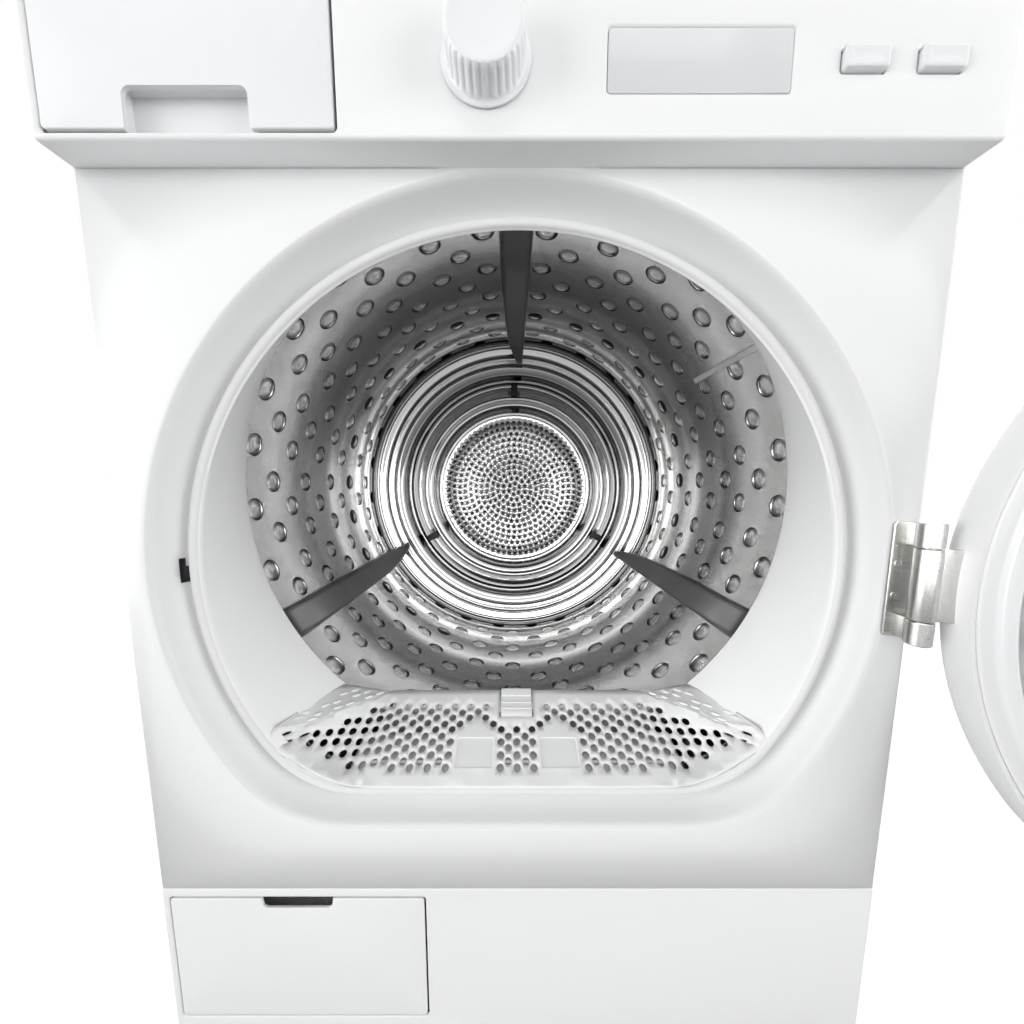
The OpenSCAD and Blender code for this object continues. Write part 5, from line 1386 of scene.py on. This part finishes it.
# ------------------------------------------------- cabinet
class DRYER_OT_cabinet(Part):
    """Makes the worktop, the stamped side and rear panels, the plinth and the feet"""
    bl_idname = "dryer.cabinet"
    bl_label = "Cabinet"

    def execute(self, context):
        r = context.scene.dryer_sizes.edge_radius
        self.worktop(r)
        self.sides()
        self.rear()
        self.plinth()
        self.feet()
        return {"FINISHED"}

    def worktop(self, r):
        """Slab with rounded edges and a shallow field in its top."""
        lo, hi = node_box("worktop")

        def ring(g, z, rad):
            return [(x, y, z) for x, y in
                    rounded_rect(lo.x - g, lo.y - g, hi.x + g, hi.y + g, max(0.5, rad + g))]

        rings = [ring(g, z, 4) for g, z in (
            (-16, SIDE_TOP + 12), (-14, SIDE_TOP + 0.5), (-2, SIDE_TOP), (-0.6, SIDE_TOP + 0.5),
            (0, SIDE_TOP + 2), (0, TOP - 2 * r), (-0.25 * r, TOP - r), (-0.9 * r, TOP - 0.35 * r),
            (-2 * r, TOP))]
        rings += [ring(g, TOP - d, rad) for g, d, rad in (
            (-16, 0.0, 8), (-18, 0.4, 8), (-20, 0.8, 8), (-60, 0.8, 30), (-200, 0.8, 100))]
        piece("worktop_slab", *loft(rings, closed_ends=True), "casing", "cabinet", "white_plastic",
              ["worktop"], 30.0)

    def sides(self):
        """Side panels of 1 mm sheet: a stamped field, and a bend round the back edge."""
        lo, hi = node_box("side_panel_left")
        deep = 2.4
        for s in (-1, 1):
            def ring(g, d, rad=60):
                return [(s * (HALF - d), y, z) for y, z in
                        rounded_rect(lo.y + 45 - g, 110 - g, hi.y - 45 + g, 690 + g, max(0.5, rad + g), 10)]

            def sheet(rims, d):
                flat, faces = dots(rims, [], 8)
                return [(s * (HALF - d), y, z) for y, z in flat], faces

            def flattened(outline):
                return [(p[1], p[2]) for p in outline]

            rings = [ring(g, d) for g, d in (
                (10, 0), (8, 0.15), (5, 0.9), (2, 1.8), (0, 2.2), (-2.5, deep), (-30, deep))]
            edge = [(lo.y + 0.1, lo.z), (hi.y - 2, lo.z), (hi.y - 2, hi.z), (lo.y + 0.1, hi.z)]
            bend = [(s * (HALF - 2 + 2 * math.cos(t)), hi.y - 2.05 + 2 * math.sin(t))
                    for t in np.linspace(0, math.pi / 2, 5)] + [(s * (HALF - 10), hi.y - 0.05)]
            verts, faces = join(
                loft(rings), loft([ring(-30, deep), ring(-150, deep)]),
                sheet([flattened(ring(-150, 0))], deep), sheet([edge, flattened(ring(10, 0))], 0),
                ([(x, y, z) for x, y in bend for z in (lo.z, hi.z)],
                 [(2 * k, 2 * k + 1, 2 * k + 3, 2 * k + 2) for k in range(len(bend) - 1)]))
            name = "left" if s < 0 else "right"
            made = piece("side_shell_" + name, verts, faces, "enamel", "cabinet", "white_steel",
                         ["side_panel_" + name], 30.0)
            face_towards(made, 0, s)
            solid(made, 1.0)

    def rear(self):
        """Rear panel with a round bead and a block of louvres."""
        lo, hi = node_box("rear_panel")
        louvres = [rounded_rect(120, 90 + 9 * k, 230, 93.5 + 9 * k, 1.6, 4) for k in range(8)]
        beads = [(235, 0), (232, 0.25), (228, 1.1), (224, 1.3), (120, 1.3), (116, 1.1), (112, 0.25), (109, 0)]

        def ring(r):
            return circle(0.0, AXIS_Z, r, 96)

        def sheet(rims):
            flat, faces = dots(rims, [], 8)
            return at_depth(flat, hi.y), faces

        edge = [(lo.x + 0.3, lo.z), (hi.x - 0.3, lo.z), (hi.x - 0.3, hi.z), (lo.x + 0.3, hi.z)]
        parts = [loft([at_depth(ring(r), hi.y + d) for r, d in beads]), sheet([ring(109)]),
                 sheet([edge, ring(235)] + louvres)]
        for hole in louvres:
            z1 = max(p[1] for p in hole)
            parts.append(loft([[(mixed(x, 175, k), hi.y + d, mixed(z, z1, up)) for x, z in hole]
                               for k, d, up in ((0, 0, 0), (0.02, 0.9, 0.35), (0.05, 1.3, 0.75))]))
        made = piece("rear_shell", *join(*parts), "galvanised", "cabinet", "galvanised_steel",
                     ["rear_panel"], 30.0)
        face_towards(made, 1, 1)
        solid(made, 0.9)

    def plinth(self):
        """Plinth panel and its flap with a finger notch."""
        lo, hi = node_box("kick_panel")
        flap = node_box("condenser_flap")
        gap = 1.5
        hole = panel(flap[0].x - gap, flap[0].z - gap, flap[1].x + gap, flap[1].z + gap, 3.0)
        face = slab_mesh(panel(lo.x, lo.z, hi.x, hi.z - 0.6, 1.6), [hole], lo.y, lo.y + 2.5, 1.2, 0.3)
        hole = panel(max(flap[0].x - 8, lo.x + 5.5), flap[0].z - 6, flap[1].x + 8, flap[1].z + 4, 3.0)
        back = slab_mesh(panel(lo.x + 3, lo.z + 3, hi.x - 3, hi.z - 4, 1.0), [hole],
                         lo.y + 2.2, hi.y - 1, 0.3, 0.3)
        piece("plinth_panel", *join(face, back), "casing", "cabinet", "white_plastic", ["kick_panel"], 35.0)
        a, b = flap
        mid = (a.x + b.x) / 2

        def outline(g):
            pts = rounded_rect(a.x - g, a.z - g, b.x + g, b.z + g, max(0.4, 3 + g))
            notch = [(mid + 30 - g, b.z + g), (mid + 29 - g, b.z - 7), (mid + 26, b.z - 9 + g),
                     (mid - 26, b.z - 9 + g), (mid - 29 + g, b.z - 7), (mid - 30 + g, b.z + g)]
            return pts[:7] + notch + pts[7:]

        cover = slab_mesh(outline, [], a.y, a.y + 2.4, 0.8, 0.3)
        tabs = [slab_mesh(panel(x, a.z + 1, x + 6, a.z + 8, 1.0), [], a.y + 2.2, b.y - 0.4, 0.3, 0.6)
                for x in (a.x + 7.5, b.x - 13.5)]
        piece("flap_cover", *join(cover, *tabs), "casing", "flap", "white_plastic", ["condenser_flap"], 35.0)

    def feet(self):
        """Four feet with their threads and lock nuts."""
        lo, hi = node_box("levelling_feet")
        parts = []
        for x in (lo.x + 20, hi.x - 20):
            for y in (lo.y + 20, hi.y - 20):
                parts.append(spun([(17.5, 0.0), (19.4, 0.4), (19.9, 1.6), (19.9, 4.5), (19, 6.6), (16, 8),
                                   (10, 8.6), (6, 9.2), (5, 10)], x, y, 48))
                thread = [(5.0 if k % 2 else 4.4, 9.6 + 0.75 * k) for k in range(58)]
                parts.append(spun(thread, x, y, 20))
                parts.append(spun([(8.6, 51.5), (9.6, 52.4), (9.6, 56.5), (8.6, 57.3)], x, y, 6))
        piece("feet_set", *join(*parts), "rubber", "cabinet", "black_rubber", ["levelling_feet"], 35.0)


# ------------------------------------------------- controls
class DRYER_OT_controls(Part):
    """Makes the control panel, its knob, buttons and display, and the water tank"""
    bl_idname = "dryer.controls"
    bl_label = "Controls"

    def execute(self, context):
        lo, hi = FASCIA
        mid = (lo.z + hi.z) / 2
        r = context.scene.dryer_sizes.edge_radius
        tank = node_box("water_tank")
        shown = node_box("display_window")
        buttons = [node_box("option_button"), node_box("start_button")]
        knob = node_box("programme_knob")
        kx, kr = (knob[0].x + knob[1].x) / 2, (knob[1].x - knob[0].x) / 2
        right = tank[0].x + 178
        pocket = panel(tank[0].x - 1.5, tank[0].z - 1.5, right + 1.5, tank[1].z + 1.5, 3.0)
        glass = panel(shown[0].x + 2.8, shown[0].z + 2.8, shown[1].x - 2.8, shown[1].z - 2.8, 2.0)
        holes = [pocket, glass, disc(kx, mid, 4.0, 24)]
        holes += [panel(b[0].x + 1.4, b[0].z + 1.4, b[1].x - 1.4, b[1].z - 1.4, 1.5) for b in buttons]
        face = slab_mesh(panel(lo.x, lo.z, hi.x, hi.z - 0.5, r), holes, lo.y, lo.y + 3, r * 0.8, 0.2)

        def rim(g, y):
            return at_depth(panel(lo.x, lo.z, hi.x, hi.z - 0.5, r)(g), y)

        skirt = loft([rim(-0.2, lo.y + 2.6), rim(0, lo.y + 3.4), rim(0, hi.y - 0.6), rim(-0.4, hi.y),
                      rim(-2.4, hi.y), rim(-2.8, hi.y - 0.6), rim(-2.8, lo.y + 2.8)], loop=True)
        piece("fascia_shell", *join(face, skirt), "casing", "cabinet", "white_plastic",
              ["control_fascia"], 32.0)
        made = slab_mesh(glass, [], lo.y + 0.6, lo.y + 3.2, 0.5, 0.3)
        piece("display_lens", *made, "display", "cabinet", "pale_gloss", ["display_window"], 35.0)
        for b, name in zip(buttons, ("option", "start")):
            self.button(b, name, lo.y)
        self.knob(kx, mid, kr, lo.y)
        self.tank(tank, right, lo.y, hi.z - 6)
        return {"FINISHED"}

    def button(self, box, name, y):
        """Cap with a dished face."""
        a, b = box
        cap = panel(a.x + 2, a.z + 2, b.x - 2, b.z - 2, 2.0)
        rings = [at_depth(cap(g), y + d) for g, d in (
            (-0.2, 5.4), (0, 4.6), (0, -1.6), (-0.25, -2.4), (-1.0, -2.9), (-2.2, -2.95), (-4.0, -2.6),
            (-5.4, -2.4))]
        piece(name + "_cap", *loft(rings, closed_ends=True), "trim", name, "button_plastic",
              [name + "_button"], 35.0)

    def knob(self, x, z, radius, y):
        """Fluted knob with a skirt and a mark."""
        n = 240
        outer = radius - 3

        def ring(r, d, flute=0.0):
            pts = []
            for k in range(n):
                a = 2 * math.pi * k / n
                rr = r - flute * (0.5 - 0.5 * math.cos(30 * a)) ** 2
                pts.append((x + rr * math.sin(a), y + d, z + rr * math.cos(a)))
            return pts

        rings = [ring(3.0, 21), ring(3.0, -0.4), ring(radius - 0.6, -0.5), ring(radius, -1.0),
                 ring(radius - 0.2, -1.8), ring(radius - 1.4, -2.3)]
        rings += [ring(outer + g, d, flute) for g, d, flute in (
            (0.6, -2.6, 0.0), (0, -3.4, 0.3), (-0.15, -5, 0.9), (-0.7, -15, 0.9), (-1.2, -17.4, 0.6),
            (-2.2, -19.2, 0.1), (-3.6, -19.9, 0.0), (-5, -19.8, 0.0), (-7, -19.3, 0.0))]
        rings += [ring(outer * 0.5, -19.0), ring(1.0, -18.9)]
        body = loft(rings, closed_ends=True)
        mark = slab_mesh(panel(x - 1.0, z + outer - 10.5, x + 1.0, z + outer - 3.2, 0.9), [],
                         y - 19.98, y - 18.5, 0.2, 0.1)
        piece("knob_grip", *join(body, mark), "trim", "knob", "knob_plastic", ["programme_knob"], 38.0)

    def tank(self, box, right, y, top):
        """Water tank: a front with a grip cup, and a ribbed body with its filler cap."""
        a, b = box

        def outline(g):
            pts = rounded_rect(a.x - g, a.z - g, right + g, top + g, max(0.4, 2.5 + g))
            x0, x1, up = a.x + 50 - g, right - 50 + g, a.z + 23
            notch = [(x0, a.z - g), (x0, up - 5)]
            notch += [(x0 + 5 - 5 * math.cos(t), up - 5 + 5 * math.sin(t)) for t in np.linspace(0.3, 1.57, 5)]
            notch += [(x1 - 5 + 5 * math.sin(t), up - 5 + 5 * math.cos(t)) for t in np.linspace(0, 1.27, 5)]
            notch += [(x1, up - 5), (x1, a.z - g)]
            return pts[:21] + notch + pts[21:]

        front = slab_mesh(outline, [], y, y + 3, 0.9, 0.2)
        shell = slab_mesh(panel(a.x + 0.3, a.z + 24.5, right - 0.3, top - 0.3, 2.0), [],
                          y + 2.8, FRONT + 10, 0.2, 0.2)
        low = [slab_mesh(panel(x0, a.z + 0.3, x1, a.z + 25, 1.0), [], y + 2.8, FRONT + 10, 0.2, 0.2)
               for x0, x1 in ((a.x + 0.3, a.x + 49), (right - 49, right - 0.3))]
        cup = slab_mesh(panel(a.x + 47, a.z + 0.3, right - 47, a.z + 25, 1.0), [], y + 9, FRONT + 10, 0.3, 0.2)
        parts = [front, shell, cup] + low
        lo, hi = Vector((a.x, FRONT + 10, a.z)), Vector((a.x + 94, b.y, a.z + 65.5))
        marks = [(0.0, 4.0), (1.2, 1.2), (4.0, 0.0)]
        long = hi.y - lo.y
        stations = list(marks)
        for k in range(1, 7):
            stations += [(long * k / 7 + d, g) for d, g in ((-6, 0.0), (-4.4, 1.4), (4.4, 1.4), (6, 0.0))]
        stations += [(long - d, g) for d, g in marks[::-1]]
        rings = [[(x, lo.y + d, z) for x, z in rounded_rect(lo.x + g, lo.z + g, hi.x - g, hi.z - g, 6.0)]
                 for d, g in stations]
        parts.append(loft(rings, closed_ends=True))
        cap = [(12.5, -1), (13, 0.2), (12.4, 0.4), (11, 0.3), (10.4, -4), (1, -4.2)]
        parts.append(spun([(r, hi.z + d) for r, d in cap], (lo.x + hi.x) / 2, FRONT + 225, 40))
        piece("tank_drawer", *join(*parts), "tank", "tank", "tank_white", ["water_tank"], 32.0)


EYE_PLACE = (-0.0046, -0.5613, 0.5264)  # camera, in metres
EYE_DOWN = 6.396  # how far it looks below level, in degrees
# Brightness of the studio round the camera's back, as (degrees away from it, level)
STUDIO = ((0, 0.82), (16, 0.82), (22.0, 2.9), (25.5, 2.9), (28.0, 0.64), (34.0, 0.5), (38.0, 0.6),
          (180.0, 0.6))
FLOOR_Z, FLOOR_HALF = -0.0005, 6


def camera_split(tree, others, camera, out):
    """One shader for camera rays and another for all the others."""
    blend = tree.nodes.new("ShaderNodeMixShader")
    path = tree.nodes.new("ShaderNodeLightPath")
    tree.links.new(path.outputs["Is Camera Ray"], blend.inputs[0])
    tree.links.new(others.outputs[0], blend.inputs[1])
    tree.links.new(camera.outputs[0], blend.inputs[2])
    tree.links.new(blend.outputs[0], tree.nodes[out].inputs["Surface"])
    return path


class DRYER_OT_stage(Part):
    """Places the camera, the lights, the floor and the backdrop"""
    bl_idname = "dryer.stage"
    bl_label = "Stage"

    def execute(self, context):
        scene = context.scene
        cam = bpy.data.cameras.new("Camera")
        cam.lens, cam.sensor_width, cam.clip_start = 12.5, 36.0, 0.01
        cam.shift_y = 0.011
        eye = bpy.data.objects.new("Camera", cam)
        eye.location = EYE_PLACE
        eye.rotation_euler = (math.radians(90 - EYE_DOWN), 0, 0)
        scene.collection.objects.link(eye)
        scene.camera = eye
        scene.view_settings.view_transform = "Standard"
        self.studio(scene)
        self.light("Key", (0.0, -1.1, 2.1), (0, -0.2, 0.5), 1.4, 0.7, 1.6)
        self.light("Left", (-1.35, -0.85, 0.6), (0.2, -0.22, 0.5), 0.8, 1.2, 2.8, 60.0)
        self.light("Right", (1.35, -0.85, 0.6), (-0.2, -0.22, 0.5), 0.8, 1.2, 2.2, 60.0)
        self.floor(scene)
        return {"FINISHED"}

    def studio(self, scene):
        """Tent light: bright panels round the dryer, with dark flags beside the camera."""
        world = bpy.data.worlds.new("Studio")
        scene.world = world
        world.use_nodes = True
        tree = world.node_tree
        plain = tree.nodes["Background"]
        place = tree.nodes.new("ShaderNodeTexCoord")
        part = tree.nodes.new("ShaderNodeSeparateXYZ")
        tree.links.new(place.outputs["Generated"], part.inputs[0])
        off = math_node(tree, "ARCCOSINE", math_node(tree, "MULTIPLY", part.outputs["Y"], -1.0))
        ramp = levels(tree, [(angle / 180, level) for angle, level in STUDIO])
        tree.links.new(math_node(tree, "DIVIDE", off, math.pi), ramp.inputs["Fac"])
        tree.links.new(ramp.outputs["Color"], plain.inputs["Color"])
        seen = node(tree, "ShaderNodeBackground", Color=(1, 1, 1, 1), Strength=1.0)
        path = camera_split(tree, plain, seen, "World Output")
        # Metal sees brighter panels than the matt parts do
        boost = math_node(tree, "ADD", math_node(tree, "MULTIPLY", path.outputs["Is Glossy Ray"], 2.3), 1.0)
        tree.links.new(boost, plain.inputs["Strength"])

    def floor(self, scene):
        """White floor; the camera sees it lifted by a glow, with the dryer's shadow on it."""
        finish, tree, bsdf = shader("Floor", (0.5, 0.5, 0.5), 0.6)
        glow = node(tree, "ShaderNodeEmission", Color=(1, 1, 1, 1), Strength=0.7)
        lifted = tree.nodes.new("ShaderNodeAddShader")
        tree.links.new(bsdf.outputs[0], lifted.inputs[0])
        tree.links.new(glow.outputs[0], lifted.inputs[1])
        camera_split(tree, bsdf, lifted, "Material Output")
        tree.links.new(tint(tree, noise(tree, coords(tree), 3.0), (0.49, 0.49, 0.49), (0.51, 0.51, 0.51)),
                       bsdf.inputs["Base Color"])
        mesh = bpy.data.meshes.new("Floor")
        mesh.from_pydata([(x * FLOOR_HALF, y * FLOOR_HALF, FLOOR_Z)
                          for x, y in ((-1, -1), (1, -1), (1, 1), (-1, 1))], [], [(0, 1, 2, 3)])
        mesh.materials.append(finish)
        ground = bpy.data.objects.new("Floor", mesh)
        scene.collection.objects.link(ground)

    def light(self, name, place, target, wide, high, power, spread=180.0):
        """Area light that looks at a target; wide and high in m, power in W, spread in degrees."""
        data = bpy.data.lights.new(name, "AREA")
        data.shape, data.size, data.size_y, data.energy = "RECTANGLE", wide, high, power
        data.spread = math.radians(spread)
        lamp = bpy.data.objects.new(name, data)
        lamp.location = place
        lamp.rotation_euler = (Vector(target) - Vector(place)).to_track_quat("-Z", "Y").to_euler()
        bpy.context.scene.collection.objects.link(lamp)


class DRYER_PT_panel(bpy.types.Panel):
    """Sizes, colours and steps of the dryer"""
    bl_idname = "DRYER_PT_panel"
    bl_label = "Clothes dryer"
    bl_space_type = "VIEW_3D"
    bl_region_type = "UI"
    bl_category = "Dryer"

    def draw(self, context):
        column = self.layout.column()
        for group in (context.scene.dryer_sizes, context.scene.dryer_colours):
            for name in group.__annotations__:
                column.prop(group, name)
        for step in STEPS:
            column.operator(step.bl_idname)


STEPS = (DRYER_OT_finishes, DRYER_OT_front, DRYER_OT_opening, DRYER_OT_filter, DRYER_OT_drum, DRYER_OT_back,
         DRYER_OT_lifters, DRYER_OT_door, DRYER_OT_cabinet, DRYER_OT_controls, DRYER_OT_stage)
CLASSES = (DryerSizes, DryerColours) + STEPS + (DRYER_PT_panel,)


def register():
    for cls in CLASSES:
        bpy.utils.register_class(cls)
    bpy.types.Scene.dryer_sizes = PointerProperty(type=DryerSizes)
    bpy.types.Scene.dryer_colours = PointerProperty(type=DryerColours)


def unregister():
    del bpy.types.Scene.dryer_colours
    del bpy.types.Scene.dryer_sizes
    for cls in reversed(CLASSES):
        bpy.utils.unregister_class(cls)


def main():
    register()
    for step in STEPS:
        area, call = step.bl_idname.split(".")
        if getattr(getattr(bpy.ops, area), call)() != {"FINISHED"}:
            raise RuntimeError(step.bl_idname + " did not finish")


if __name__ == "__main__":
    main()
